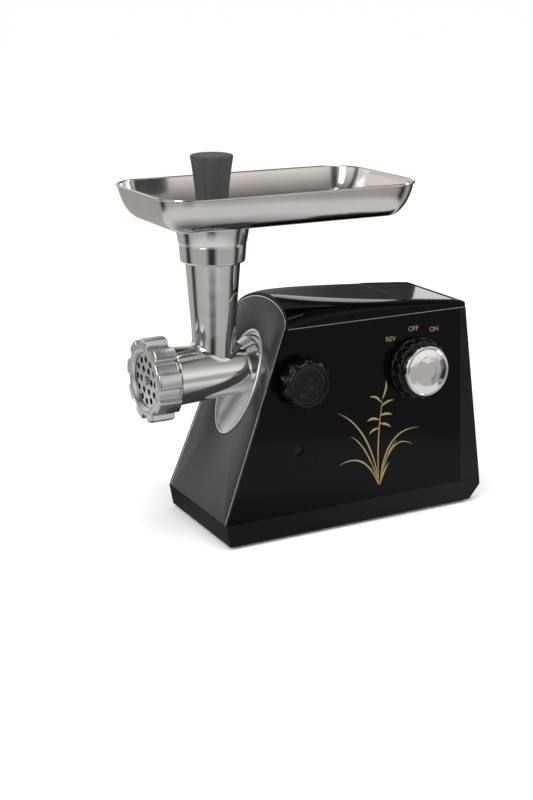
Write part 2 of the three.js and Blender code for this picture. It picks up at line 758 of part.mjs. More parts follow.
function makeStator() {
  const block = alongX(roundedBox(statorHalf, statorHalf, 12, 4), statorFrontX, statorRearX, motorShaft);
  const windows = [1, -1].flatMap((up) => [1, -1].map((side) => {
    const [y0, y1] = [side * windowY[0], side * windowY[1]].sort((a, b) => a - b);
    const [z0, z1] = [up * windowZ[0], up * windowZ[1]].sort((a, b) => a - b);
    return alongX(box(y0, z0, y1, z1), statorFrontX - 1, statorRearX + 1, motorShaft);
  }));
  return cut(block, rodX(statorBore, statorFrontX - 1, statorRearX + 1, motorShaft), ...windows);
}

function makeCoil(up) {
  const [z0, z1] = [up * coilLow, up * coilHigh].sort((a, b) => a - b).map((z) => z + motorZ);
  const front = statorFrontX - seat;
  const rear = statorRearX + seat;
  return cut(
    blockOf([front - coilBar, motorY - coilSide, z0], [rear + coilBar, motorY + coilSide, z1]),
    blockOf([front, motorY - poleHalf, z0 - 1], [rear, motorY + poleHalf, z1 + 1]),
  );
}

piece('field_stack', makeStator(), darkSteel);
piece('upper_field_coil', makeCoil(1), copper);
piece('lower_field_coil', makeCoil(-1), copper);

const statorFoot = motorZ - statorHalf;
piece('motor_cradle', blockOf(
  [statorFrontX + 6, -22, floorTop + seat], [statorRearX - 6, 22, statorFoot - seat],
), blackSatin);

function makeRearBracket() {
  const [low, high] = [rearBracketX, rearBracketX + 5];
  const plate = join(
    alongX(box(-30, floorTop + seat, 30, motorZ + 6), low, high),
    rodX(bearingRadius + 5, low, high + 4, motorShaft),
    blockOf([low - 8, -30, floorTop + seat], [high + 8, 30, floorTop + seat + 4]),
  );
  return cut(
    plate,
    rodX(bearingRadius + seat, low + 1, panelRearX, motorShaft),
    rodX(6, low - 1, panelRearX, motorShaft),
  );
}

piece('motor_rear_bracket', makeRearBracket(), blackSatin);

[['left', 1], ['right', -1]].forEach(([name, side]) => {
  const [y0, y1] = [side * (11 + running), side * 30].sort((a, b) => a - b);
  piece(`brush_holder_${name}`, blockOf(
    [commutatorX + 2, y0, motorZ - 4], [commutatorX + 11, y1, motorZ + 4],
  ), brass);
});

// ---------------------------------------------------------------- electrics on the left-hand side
const boardX = statorFrontX + 8;
const boardY = bodyWidth / 2 - wall - 21;
const boardFace = boardY + 1.6;
piece('control_board', blockOf(
  [boardX, boardY, floorTop + seat], [boardX + 62, boardFace, floorTop + 52],
), board);
piece('suppressor_capacitor', blockOf(
  [boardX + 18, boardFace + seat, floorTop + 16], [boardX + 44, boardFace + 10, floorTop + 34],
), blackSatin);

// ================================================================ selector dial and its switch

// Local frames on the right-hand panel: local Z points out of the panel.
function panelFrame(x, z, tilt) {
  const frame = new THREE.Group();
  frame.position.set(x, -halfWidth(z), z);
  frame.rotation.x = Math.PI / 2 - tilt;
  grinder.add(frame);
  return frame;
}

function fluted(radius, depth, count) {
  return outline(ringPoints(count * 4, (_, i) => (i % 4 < 2 ? radius : radius - depth)));
}

const dialFrame = panelFrame(dialX, dialZ, sideLean);
const dialGap = 0.8;
const grip = 14;
const spindleRadius = 3;
const spindleDepth = 15;
const switchHalf = 18;

piece('dial_grip', join(
  turnedZ([
    [dialGap, 0], [dialGap, dialRadius - 0.5], [dialGap + 0.5, dialRadius], [dialGap + 3, dialRadius],
    [dialGap + 4, dialRadius - 1],
    [dialGap + 4, 0],
  ]),
  upZ(fluted(dialRadius - 0.8, 1.6, 14), dialGap + 3, grip),
  rodZ(spindleRadius, -spindleDepth, grip - 1, [0, 0], 16),
), blackSatin, dialFrame);

const capRadius = dialRadius - 5.5;
const capProfile = [
  [grip + seat, 0], [grip + seat, capRadius - 0.6], [grip + 1.2, capRadius],
  [dialHeight - 3, capRadius], [dialHeight - 1.2, capRadius - 1.2], [dialHeight - 0.6, capRadius - 4],
  [dialHeight, 0],
];
piece('dial_cap', turnedZ(capProfile, 32), chrome, dialFrame);

piece('selector_switch', cut(
  upZ(roundedBox(switchHalf, switchHalf, 3, 2), -wall - 24, -wall - seat),
  rodZ(spindleRadius + running, -spindleDepth - 1, 0, [0, 0], 16),
), blackSatin, dialFrame);

// ================================================================ head clamp: knob, screw and pad

const lockFrame = panelFrame(lockX, lockZ, 0);
const panelFaceY = -halfWidth(lockZ);
const padThickness = 3;
const depthOf = (y) => panelFaceY - y;
const padInner = depthOf(-neckRadius - seat);
const padOuter = padInner + padThickness;
const screwInner = padOuter + seat;
const knobGap = 2.6;
const knobRecess = 2.5;

piece('clamp_pad', rodZ(padRadius, padInner, padOuter, [0, 0], 20), brass, lockFrame);
piece('clamp_screw', rodZ(lockScrewRadius, screwInner, knobGap + 10, [0, 0], 20), darkSteel, lockFrame);
piece('clamp_bush', cut(
  rodZ(bushRadius, depthOf(bushInnerY - seat), depthOf(bushOuterY), [0, 0], 20),
  rodZ(lockScrewRadius + seat, -bodyWidth, 0, [0, 0], 20),
), brass, lockFrame);
piece('clamp_knob', cut(
  join(
    upZ(fluted(lockRadius, 2.4, 10), knobGap, lockHeight - 2),
    rodZ(lockRadius - 3.4, knobGap, lockHeight, [0, 0], 24),
  ),
  rodZ(lockRadius - 6, lockHeight - knobRecess, lockHeight + 1, [0, 0], 24),
  rodZ(lockScrewRadius + seat, knobGap - 1, knobGap + 10 + seat, [0, 0], 20),
), blackSatin, lockFrame);

// ================================================================ mincing head

const tubeTop = trayFloorZ - seat;

// The ring nut's lip holds the plate, the plate stands out of the bell, and the knife is behind it.
const plateFaceX = ringFrontX + ringLip + seat;
const plateBackX = plateFaceX + plateThickness;
const knifeFrontX = plateBackX + seat;
const knifeRearX = knifeFrontX + knifeThickness;
const chamberRearX = knifeRearX + seat;
const bellFrontX = plateFaceX + 1.5;
const ringRearX = ringFrontX + ringLength;
const bellRearX = ringRearX + 1;

function makeHead() {
  const barrel = turnedX([
    [bellFrontX, 0], [bellFrontX, threadRadius], [bellRearX, threadRadius],
    [bellRearX + 4, barrelFrontRadius], [barrelRearX, barrelRearRadius],
    [flangeFrontX - 1, flangeRadius - 1.5], [flangeFrontX + 1, flangeRadius],
    [flangeRearX, flangeRadius], [flangeRearX, neckRadius], [neckRearX, neckRadius], [neckRearX, 0],
  ], 24, outputShaft);
  const tube = turnedZ([
    [axisZ, 0], [axisZ, tubeFootRadius - 0.5], [axisZ + 30, tubeFootRadius],
    [bandLow - 1, tubeTopRadius], [bandLow, bandRadius], [bandHigh, bandRadius + 1.2],
    [bandHigh + 1, mouthRadius - 2.5], [tubeTop, mouthRadius], [tubeTop, 0],
  ]);
  const tubeBore = turnedZ([
    [axisZ, 0], [axisZ, tubeBoreFoot], [axisZ + 20, tubeBoreFoot], [bandLow + 2, tubeBoreTop],
    [bandLow + 2, trayNeckRadius + seat], [bandHigh, trayNeckRadius + seat],
    [tubeTop - 2, mouthRadius - 3], [tubeTop + 1, mouthRadius - 3], [tubeTop + 1, 0],
  ]);
  const inside = turnedX([
    [bellFrontX - 1, 0], [bellFrontX - 1, plateRadius + seat], [chamberRearX, plateRadius + seat],
    [chamberRearX, boreRadius], [augerRearX + 4, boreRadius], [augerRearX + 4, shaftRadius + running],
    [neckRearX + 1, shaftRadius + running], [neckRearX + 1, 0],
  ], 24, outputShaft);
  const keyway = blockOf(
    [flangeRearX - 7.4, -5.3, axisZ + neckRadius + 0.8],
    [flangeRearX + 1, 5.3, axisZ + flangeRadius + 1],
  );
  return cut(join(barrel, tube), inside, tubeBore, keyway);
}

piece('mincing_head', makeHead(), polishedAluminium);

// The flight is a hub with one fin, twisted as it runs back.
const finHalf = 20 * degrees;

function makeAuger() {
  const section = ringPoints(18, (angle) => {
    const offCentre = Math.abs(angle - Math.PI);
    return offCentre < finHalf ? flightRadius : hubRadius;
  });
  const length = augerRearX - chamberRearX;
  const steps = 26;
  const twisted = reshape(
    extruded(outline(section), length, steps).applyMatrix4(backwards),
    (point) => { point.applyAxisAngle(unitX, (2 * Math.PI * point.x) / flightPitch); },
  ).translate(chamberRearX, 0, axisZ);
  return join(
    solidOf(twisted),
    rodX(studRadius, plateFaceX - 2, chamberRearX + 1, outputShaft, 16),
    alongX(disc(knifeSquare / Math.SQRT2, 4), knifeFrontX, chamberRearX + 1, outputShaft),
    rodX(12, augerRearX - 1, augerRearX + 1.6, outputShaft),
    rodX(shaftRadius, augerRearX, tailX, outputShaft),
    alongX(disc(tailAcrossFlats / Math.sqrt(3), 6), tailX - 1, tailX + tailLength, outputShaft),
  );
}

piece('auger', makeAuger(), satinAluminium);
piece('auger_washer', cut(
  rodX(15, augerRearX + 1.9, augerRearX + 3.7, outputShaft),
  rodX(shaftRadius + seat, 0, neckRearX, outputShaft),
), nylon);

const armCount = 4;

function makeKnife() {
  const points = ringPoints(armCount * 4, (_, i) => (i % 4 < 2 ? plateRadius - 1 : 10.5));
  return cut(
    alongX(outline(points), knifeFrontX, knifeRearX, outputShaft),
    alongX(disc((knifeSquare + 2 * seat) / Math.SQRT2, 4), ringFrontX, 0, outputShaft),
  );
}

piece('cutting_knife', makeKnife(), darkSteel);

const holeRings = [
  { radius: 0.41 * plateRadius, count: 6 },
  { radius: 0.725 * plateRadius, count: 12 },
];
const plateHole = 3.4;

function makePlate() {
  const holes = holeRings.flatMap(({ radius, count }) => ringPoints(count, () => radius).map(([y, z]) => (
    rodX(plateHole, plateFaceX - 1, plateBackX + 1, [y, axisZ + z], 6)
  )));
  return cut(
    rodX(plateRadius, plateFaceX, plateBackX, outputShaft, 32),
    rodX(studRadius + seat, ringFrontX, 0, outputShaft, 16),
    ...holes,
  );
}

piece('cutting_plate', makePlate(), polishedSteel);

// Square grip lugs stand round the ring; it is tightened with one lug a little above the barrel's side.
function makeRingNut() {
  const lugs = [];
  for (let i = 0; i < lugCount; i += 1) {
    const middle = Math.PI - lugTilt + (i * 2 * Math.PI) / lugCount;
    const pitch = (2 * Math.PI) / lugCount;
    [
      [-0.3, ringRadius], [-0.24, lugRadius], [0, lugRadius], [0.24, lugRadius],
      [0.3, ringRadius], [0.5, ringRadius],
    ].forEach(([share, radius]) => {
      const angle = middle + share * pitch;
      lugs.push([radius * Math.cos(angle), radius * Math.sin(angle)]);
    });
  }
  const lipRear = ringFrontX + ringLip;
  return cut(
    alongX(outline(lugs), ringFrontX, ringRearX, outputShaft),
    rodX(threadRadius + running, lipRear, 0, outputShaft, 32),
    turnedX([
      [ringFrontX - 1, 0], [ringFrontX - 1, ringMouthRadius + 3],
      [lipRear + 1, ringMouthRadius], [lipRear + 1, 0],
    ], 32, outputShaft),
  );
}

piece('ring_nut', makeRingNut(), satinAluminium);

// ================================================================ tray

const trayCentreX = trayFrontX + trayLength / 2;

// A rounded rectangle whose outline draws in or out with height.
function pan(lowZ, highZ, steps, insetAt) {
  const [halfLength, halfBreadth] = [trayLength / 2, trayWidth / 2];
  const shape = roundedBox(halfLength, halfBreadth, trayCorner, 4);
  const geometry = extruded(shape, highZ - lowZ, steps).translate(0, 0, lowZ);
  return solidOf(reshape(geometry, (point) => {
    const coreX = THREE.MathUtils.clamp(point.x, trayCorner - halfLength, halfLength - trayCorner);
    const coreY = THREE.MathUtils.clamp(point.y, trayCorner - halfBreadth, halfBreadth - trayCorner);
    const share = 1 - insetAt(point.z) / trayCorner;
    point.x = trayCentreX + coreX + (point.x - coreX) * share;
    point.y = coreY + (point.y - coreY) * share;
  }));
}

const lipWidth = 3.5;
const lipThickness = 2;
const wallSlope = 11;         // how far the wall leans in from the lip to the floor's bend
const floorBend = 9;          // radius of the bend between wall and floor

function wallInset(z, extra) {
  const height = z - trayFloorZ - extra;
  const lean = lipWidth + wallSlope * (1 - height / trayDepth);
  const fall = Math.max(0, floorBend - Math.max(0, height));
  const bend = floorBend - Math.sqrt(floorBend ** 2 - fall ** 2);
  return lean + bend + extra;
}

function makeTray() {
  const lipLow = trayRimZ - lipThickness;
  const outer = pan(trayFloorZ, lipLow + 0.5, 7, (z) => wallInset(z, 0));
  const lip = pan(lipLow, trayRimZ, 1, () => 0);
  const inner = pan(trayFloorZ + trayWall, trayRimZ + 2, 7, (z) => wallInset(z, trayWall));
  const neck = rodZ(trayNeckRadius, bandLow + 5, trayFloorZ + 0.5, [0, 0], 24);
  const neckBore = rodZ(trayNeckRadius - trayWall, 0, trayRimZ, [0, 0], 24);
  return cut(join(outer, lip), inner).add(neck).subtract(neckBore);
}

piece('tray', makeTray(), polishedSteel);

// ================================================================ pusher

const collarLow = trayFloorZ + trayWall + seat;
const collarHigh = collarLow + pusherCollar;

function makePusher() {
  const stemTip = collarLow - pusherStemLength;
  const fluteCount = 8;
  const stem = reshape(
    extruded(outline(ringPoints(fluteCount * 3, (_, i) => (
      i % 3 === 0 ? pusherStemRadius - 1.8 : pusherStemRadius
    ))), pusherStemLength + 1, 8).translate(0, 0, stemTip),
    (point) => {
      const height = Math.max(0, point.z - stemTip);
      const nose = Math.min(1, 0.35 + 0.65 * Math.sqrt(Math.min(1, height / 12)));
      point.x *= nose;
      point.y *= nose;
    },
  );
  const handle = reshape(
    extruded(outline(ringPoints(fluteCount * 3, (_, i) => (i % 3 === 0 ? 0.93 : 1))), pusherHandle, 6)
      .translate(0, 0, collarHigh - 0.5),
    (point) => {
      const share = Math.max(0, (point.z - collarHigh + 0.5) / pusherHandle);
      const flare = pusherWaistRadius + (pusherTopRadius - pusherWaistRadius) * share ** 1.6;
      const foot = 3.5 * Math.max(0, 1 - share * 5) ** 2;
      point.x *= flare + foot;
      point.y *= flare + foot;
    },
  );
  const collar = turnedZ([
    [collarLow, 0], [collarLow, pusherCollarRadius - 1], [collarLow + 1.5, pusherCollarRadius],
    [collarHigh - 2.5, pusherCollarRadius], [collarHigh, pusherCollarRadius - 3], [collarHigh, 0],
  ], 32);
  return join(collar, solidOf(stem), solidOf(handle));
}

piece('pusher', makePusher(), charcoal);

// ================================================================ origin at the bottom centre

// The tray's edge is the widest point on one side, and the tilted dial's cap on the other.
const capReach = capProfile.map(([along, radius]) => (
  along * Math.cos(sideLean) + radius * Math.sin(sideLean)
));
const dialReach = halfWidth(dialZ) + Math.max(...capReach);
const originX = (trayFrontX + backX(heelHeight)) / 2;
const originY = (Math.max(trayWidth, bodyWidth) / 2 - dialReach) / 2;
grinder.position.set(-originX, -originY, 0);

export default grinder;
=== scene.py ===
import json
import math

import bmesh
import bpy
from mathutils import Matrix, Vector


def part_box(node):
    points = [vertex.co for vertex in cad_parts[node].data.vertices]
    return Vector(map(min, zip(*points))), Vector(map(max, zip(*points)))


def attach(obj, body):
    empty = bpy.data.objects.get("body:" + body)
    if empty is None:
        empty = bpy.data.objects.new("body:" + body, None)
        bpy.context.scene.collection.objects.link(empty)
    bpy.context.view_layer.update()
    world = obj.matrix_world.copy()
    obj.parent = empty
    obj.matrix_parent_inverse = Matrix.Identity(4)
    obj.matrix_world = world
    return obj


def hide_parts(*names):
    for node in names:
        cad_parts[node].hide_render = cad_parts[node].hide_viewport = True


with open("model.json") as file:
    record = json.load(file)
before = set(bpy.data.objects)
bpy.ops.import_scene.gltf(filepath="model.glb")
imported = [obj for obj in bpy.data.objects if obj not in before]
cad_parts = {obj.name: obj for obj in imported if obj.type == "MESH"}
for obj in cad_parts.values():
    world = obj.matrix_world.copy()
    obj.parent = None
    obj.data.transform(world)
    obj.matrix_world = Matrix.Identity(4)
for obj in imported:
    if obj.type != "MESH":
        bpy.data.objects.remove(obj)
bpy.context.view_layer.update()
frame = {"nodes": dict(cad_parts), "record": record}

scene = bpy.context.scene
degrees = math.pi / 180

# Pieces are laid out in millimetres from the feed tube's axis, the barrel's middle plane and the table,
# and LAYOUT takes them into the frame.
pusher_low, pusher_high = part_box("pusher")
plate_low, plate_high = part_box("cutting_plate")
TUBE_X = (pusher_low.x + pusher_high.x) / 2
MIDDLE_Y = (pusher_low.y + pusher_high.y) / 2
AXIS_Z = (plate_low.z + plate_high.z) / 2 * 1000
LAYOUT = Matrix.Translation((TUBE_X, MIDDLE_Y, 0)) @ Matrix.Scale(0.001, 4)


# ================================================================ finishes

class Signal:
    """A value in a shader. Arithmetic on it adds Math nodes."""

    def __init__(self, nodes, socket):
        self.nodes = nodes
        self.socket = socket

    def math(self, operation, *values):
        return self.nodes.node("ShaderNodeMath", {"operation": operation}, dict(enumerate(values)))

    def __add__(self, other):
        return self.math("ADD", self, other)

    def __sub__(self, other):
        return self.math("SUBTRACT", self, other)

    def __rsub__(self, other):
        return self.math("SUBTRACT", other, self)

    def __mul__(self, other):
        return self.math("MULTIPLY", self, other)

    def __pow__(self, other):
        return self.math("POWER", self, other)

    def __gt__(self, other):
        return self.math("GREATER_THAN", self, other)

    __radd__ = __add__
    __rmul__ = __mul__


class Nodes:
    """The node tree of a material or of the world."""

    def __init__(self, owner, end="ShaderNodeOutputMaterial"):
        owner.use_nodes = True
        self.tree = owner.node_tree
        self.tree.nodes.clear()
        self.end = self.tree.nodes.new(end)

    def feed(self, socket, value):
        if isinstance(value, Signal):
            self.tree.links.new(value.socket, socket)
        else:
            socket.default_value = value

    def node(self, kind, settings=None, inputs=None, output=0):
        made = self.tree.nodes.new(kind)
        for name, value in (settings or {}).items():
            if name == "stops":
                stops = made.color_ramp.elements
                while len(stops) < len(value):
                    stops.new(0.5)
                for stop, (place, shade) in zip(stops, value):
                    stop.position = place
                    stop.color = shade
            else:
                setattr(made, name, value)
        for key, value in (inputs or {}).items():
            self.feed(made.inputs[key], value)
        return Signal(self, made.outputs[output])

    def coordinates(self, scale=(1, 1, 1)):
        place = self.node("ShaderNodeTexCoord", output="Object")
        return self.node("ShaderNodeMapping", {}, {"Vector": place, "Scale": scale})

    def noise(self, scale, detail=2.0, stretch=(1, 1, 1)):
        where = {"Vector": self.coordinates(stretch), "Scale": scale, "Detail": detail}
        return self.node("ShaderNodeTexNoise", {}, where)

    def shade(self, factor, first, second):
        return self.node("ShaderNodeMix", {"data_type": "RGBA"}, {0: factor, 6: first, 7: second}, 2)

    def bump(self, height, strength, distance):
        return self.node("ShaderNodeBump", {}, {
            "Strength": strength, "Distance": distance, "Height": height,
        })

    def surface(self, sockets):
        shader = self.node("ShaderNodeBsdfPrincipled", {}, sockets)
        self.feed(self.end.inputs["Surface"], shader)


def rgb(red, green=None, blue=None):
    return (red, red if green is None else green, red if blue is None else blue, 1)


def finish(name):
    material = bpy.data.materials.new(name)
    return material, Nodes(material)


def gloss_black():
    """Polished black plastic with faint flow waves, dust and wiping marks."""
    material, nodes = finish("gloss_black")
    smears = nodes.noise(14, 4, (1, 1, 2.2))
    dust = nodes.noise(2600, 1) > 0.8
    wave = nodes.noise(9, 1)
    nodes.surface({
        "Base Color": nodes.shade(dust * 0.5, rgb(0.0012, 0.0012, 0.0014), rgb(0.01)),
        "Roughness": smears * 0.05 + 0.03 + dust * 0.04,
        "Specular IOR Level": 0.16,
        "Normal": nodes.bump(wave, 0.05, 0.002),
    })
    return material


def moulded(name, low, high, rough, grain, depth, shine=0.3):
    """Satin moulded plastic with a spark-eroded grain."""
    material, nodes = finish(name)
    speck = nodes.noise(grain, 3)
    patch = nodes.noise(22, 3)
    nodes.surface({
        "Base Color": nodes.shade(patch, low, high),
        "Roughness": patch * 0.1 + speck * 0.08 + rough,
        "Specular IOR Level": shine,
        "Normal": nodes.bump(speck, 0.35, depth),
    })
    return material


def fascia_paint():
    """Dark silver paint with fine flake under a satin lacquer."""
    material, nodes = finish("fascia_paint")
    flake = nodes.noise(5200, 1)
    drift = nodes.noise(16, 2)
    nodes.surface({
        "Base Color": nodes.shade(flake, rgb(0.024, 0.025, 0.026), rgb(0.075, 0.075, 0.075)),
        "Roughness": drift * 0.07 + 0.3,
        "Metallic": flake * 0.3 + 0.38,
        "Specular IOR Level": 0.25,
        "Coat Weight": 0.2,
        "Coat Roughness": 0.12,
        "Normal": nodes.bump(flake, 0.12, 0.00008),
    })
    return material


def metal(name, low, high, rough, spread, streaks, grain, depth, coarse=(1, 1, 1)):
    """Bare metal: a colour that drifts, wiping smears, and grain or polishing lines."""
    material, nodes = finish(name)
    line = nodes.noise(grain, 2, coarse)
    smear = nodes.noise(streaks, 4)
    nodes.surface({
        "Base Color": nodes.shade(smear, low, high),
        "Roughness": smear * spread + line * spread * 0.6 + rough,
        "Metallic": 1.0,
        "Normal": nodes.bump(line, 0.25, depth),
    })
    return material


def rippled(name, low, high, rough, waves, strength=0.22):
    """Mirror-polished metal, whose slight waviness draws reflections into soft streaks."""
    material, nodes = finish(name)
    wave = nodes.noise(waves, 1.5)
    hair = nodes.noise(900, 2, (1, 1, 0.06))
    smear = nodes.noise(26, 4)
    nodes.surface({
        "Base Color": nodes.shade(smear, low, high),
        "Roughness": smear * 0.06 + hair * 0.05 + rough,
        "Metallic": 1.0,
        "Normal": nodes.bump(wave + hair * 0.01, strength, 0.0012),
    })
    return material


def laminated():
    """A stack of thin steel sheets along the shaft."""
    material, nodes = finish("laminated_steel")
    sheet = nodes.node("ShaderNodeTexWave", {"wave_type": "BANDS", "bands_direction": "X"}, {
        "Vector": nodes.coordinates(), "Scale": 320.0, "Distortion": 0.4,
    }, 1)
    nodes.surface({
        "Base Color": nodes.shade(sheet, rgb(0.12, 0.12, 0.125), rgb(0.34, 0.34, 0.35)),
        "Roughness": sheet * 0.2 + 0.35,
        "Metallic": 0.9,
        "Normal": nodes.bump(sheet, 0.4, 0.0002),
    })
    return material


def wound():
    """Lacquered copper wire, wound side by side."""
    material, nodes = finish("wound_copper")
    strand = nodes.node("ShaderNodeTexWave", {"wave_type": "BANDS", "bands_direction": "Z"}, {
        "Vector": nodes.coordinates(), "Scale": 260.0, "Distortion": 1.2,
    }, 1)
    nodes.surface({
        "Base Color": nodes.shade(strand, rgb(0.22, 0.07, 0.02), rgb(0.62, 0.27, 0.1)),
        "Roughness": strand * 0.15 + 0.25,
        "Metallic": 0.85,
        "Normal": nodes.bump(strand, 0.6, 0.0004),
    })
    return material


def circuit():
    """Green laminate with tinned pads and tracks."""
    material, nodes = finish("circuit_laminate")
    pad = nodes.node("ShaderNodeTexVoronoi", {"distance": "CHEBYCHEV"}, {
        "Vector": nodes.coordinates(), "Scale": 190.0,
    })
    tinned = 1 - (pad > 0.16)
    nodes.surface({
        "Base Color": nodes.shade(tinned, rgb(0.012, 0.11, 0.035), rgb(0.6, 0.6, 0.58)),
        "Roughness": 0.45 - tinned * 0.2,
        "Metallic": tinned,
        "Normal": nodes.bump(tinned, 0.3, 0.0002),
    })
    return material


def gold_print():
    """Hot-stamped gold film, worn thin in places."""
    material, nodes = finish("gold_print")
    wear = nodes.noise(420, 4)
    nodes.surface({
        "Base Color": nodes.shade(wear, rgb(0.33, 0.25, 0.11), rgb(0.64, 0.51, 0.27)),
        "Roughness": wear * 0.25 + 0.28,
        "Metallic": 0.75,
        "Normal": nodes.bump(wear, 0.2, 0.00005),
    })
    return material


GLOSS = gloss_black()
SATIN = moulded("satin_black", rgb(0.004), rgb(0.008), 0.3, 3200, 0.00005, 0.2)
KNOB = moulded("knob_black", rgb(0.002), rgb(0.004), 0.1, 2400, 0.00002, 0.3)
CHARCOAL = moulded("charcoal", rgb(0.052, 0.056, 0.057), rgb(0.075, 0.08, 0.081), 0.42, 2800, 0.00008)
RUBBER = moulded("foot_rubber", rgb(0.014), rgb(0.026), 0.74, 1800, 0.00012)
NYLON = moulded("natural_nylon", rgb(0.66, 0.64, 0.57), rgb(0.76, 0.74, 0.68), 0.4, 1500, 0.00005)
FASCIA = fascia_paint()
POLISHED = rippled("polished_aluminium", rgb(0.80, 0.79, 0.78), rgb(0.9, 0.9, 0.89), 0.05, 34)
STEEL = rippled("pressed_stainless", rgb(0.66, 0.63, 0.6), rgb(0.8, 0.78, 0.76), 0.1, 22)
CHROME = rippled("mirror_chrome", rgb(0.88), rgb(0.95), 0.012, 95, 0.5)
CAST = metal("satin_casting", rgb(0.6, 0.6, 0.605), rgb(0.74, 0.74, 0.745), 0.15, 0.12, 40, 1400, 0.00012)
GROUND = metal(
    "ground_steel", rgb(0.3, 0.3, 0.31), rgb(0.44, 0.44, 0.45), 0.24, 0.16, 60, 1100, 0.00008, (0.1, 1, 1),
)
SCOOP = metal(
    "blasted_silver", rgb(0.84, 0.84, 0.85), rgb(0.93, 0.93, 0.94), 0.26, 0.12, 30, 1600, 0.0001,
)
BRASS = metal("turned_brass", rgb(0.6, 0.42, 0.17), rgb(0.75, 0.56, 0.27), 0.2, 0.15, 70, 1500, 0.00006)
LAMINATED = laminated()
COPPER = wound()
BOARD = circuit()
GOLD = gold_print()
# A pale grey for the painted highlight strip along each seam between a side panel and the top cover.
SEAM_HIGHLIGHT_PAINT = moulded("painted_seam_highlight", rgb(0.10), rgb(0.15), 0.35, 2600, 0.00004)

SLOT_FINISH = {
    "black_gloss_body": GLOSS,
    "black_satin_plastic": SATIN,
    "fascia_grey": FASCIA,
    "polished_aluminium": POLISHED,
    "satin_aluminium": CAST,
    "stainless_sheet": STEEL,
    "dark_steel": GROUND,
    "chrome_cap": CHROME,
    "charcoal_plastic": CHARCOAL,
    "foot_rubber": RUBBER,
    "white_nylon": NYLON,
    "brass_parts": BRASS,
    "copper_winding": COPPER,
    "circuit_board": BOARD,
}
NODE_SLOT = {part["node"]: part["material_slot"] for part in frame["record"]["subparts"]}
NODE_BODY = {
    node: body for body, nodes in frame["record"]["behaviour"]["bodies"].items() for node in nodes
}

for node, part in frame["nodes"].items():
    part.data.materials.clear()
    part.data.materials.append(SLOT_FINISH[NODE_SLOT[node]])
for node in ("armature", "field_stack"):
    frame["nodes"][node].data.materials[0] = LAMINATED


# ================================================================ building pieces

def eased(path, closed=True, steps=5):
    """Rounds the corners of a flat path. A corner is (u, v) or (u, v, radius)."""
    points = []
    for i, corner in enumerate(path):
        point = Vector(corner[:2])
        radius = corner[2] if len(corner) > 2 else 0
        if radius == 0 or (not closed and i in (0, len(path) - 1)):
            points.append(point)
            continue
        before = Vector(path[i - 1][:2]) - point
        after = Vector(path[(i + 1) % len(path)][:2]) - point
        reach = radius / math.tan(before.angle(after) / 2)
        reach = min(reach, before.length * 0.49, after.length * 0.49)
        start = point + before.normalized() * reach
        end = point + after.normalized() * reach
        for step in range(steps + 1):
            share = step / steps
            points.append(start.lerp(point, share).lerp(point.lerp(end, share), share))
    return points


def lofted(sections, closed=False):
    """A solid through loops that have the same number of points; closed joins the last to the first."""
    mesh = bmesh.new()
    row = bmesh.ops.create_circle(mesh, segments=len(sections[0]), radius=1)["verts"]
    for vert, point in zip(row, sections[0]):
        vert.co = point
    edges = list(mesh.edges)
    for section in sections[1:] + (sections[:1] if closed else []):
        grown = bmesh.ops.extrude_edge_only(mesh, edges=edges)["geom"]
        place = {vert: i for i, vert in enumerate(row)}
        following = [None] * len(row)
        for vert in (item for item in grown if isinstance(item, bmesh.types.BMVert)):
            for edge in vert.link_edges:
                other = edge.other_vert(vert)
                if other in place:
                    following[place[other]] = vert
        for vert, point in zip(following, section):
            vert.co = point
        edges = [
            mesh.edges.get((following[i - 1], following[i])) for i in range(len(following))
        ]
        row = following
    if not closed:
        open_edges = [edge for edge in mesh.edges if edge.is_boundary]
        bmesh.ops.holes_fill(mesh, edges=open_edges, sides=0)
    bmesh.ops.remove_doubles(mesh, verts=mesh.verts, dist=0.0005)
    bmesh.ops.recalc_face_normals(mesh, faces=mesh.faces)
    return mesh


def turned(profile, axis="Z", centre=(0, 0, 0), closed=True, segments=96):
    """Spins a profile of (distance along the axis, radius) right round."""
    mesh = bmesh.new()
    centre = Vector(centre)
    along = Vector((1, 0, 0) if axis == "X" else (0, 0, 1))
    out = Vector((0, 0, 1) if axis == "X" else (1, 0, 0))
    row = [mesh.verts.new(centre + along * place + out * radius) for place, radius in profile]
    for first, second in zip(row, row[1:]):
        mesh.edges.new((first, second))
    if closed:
        mesh.edges.new((row[-1], row[0]))
    bmesh.ops.spin(
        mesh, geom=mesh.verts[:] + mesh.edges[:], cent=centre, axis=along, angle=2 * math.pi,
        steps=segments, use_merge=True,
    )
    bmesh.ops.remove_doubles(mesh, verts=mesh.verts, dist=0.0005)
    bmesh.ops.recalc_face_normals(mesh, faces=mesh.faces)
    return mesh


def carved(mesh, other, operation):
    """One solid joined to, or cut by, another."""
    pair = []
    for name, part in (("whole", mesh), ("tool", other)):
        data = bpy.data.meshes.new(name)
        part.to_mesh(data)
        part.free()
        pair.append(bpy.data.objects.new(name, data))
        scene.collection.objects.link(pair[-1])
    whole, tool = pair
    joint = whole.modifiers.new("joint", "BOOLEAN")
    joint.operation = operation
    joint.object = tool
    joint.solver = "EXACT"
    result = bmesh.new()
    result.from_object(whole, bpy.context.evaluated_depsgraph_get())
    for part in pair:
        data = part.data
        bpy.data.objects.remove(part)
        bpy.data.meshes.remove(data)
    return result


def show(name, mesh, material):
    """Makes an object of a mesh that is already in the frame."""
    data = bpy.data.meshes.new(name)
    mesh.to_mesh(data)
    mesh.free()
    data.shade_smooth()
    data.set_sharp_from_angle(angle=38 * degrees)
    data.materials.append(material)
    piece = bpy.data.objects.new(name, data)
    scene.collection.objects.link(piece)
    return piece


def round_off(piece, width, segments=3):
    """Rounds the piece's edges by a width in millimetres."""
    rounding = piece.modifiers.new("rounded_edges", "BEVEL")
    rounding.width = width / 1000
    rounding.segments = segments
    rounding.limit_method = "ANGLE"
    rounding.angle_limit = 32 * degrees
    rounding.harden_normals = True


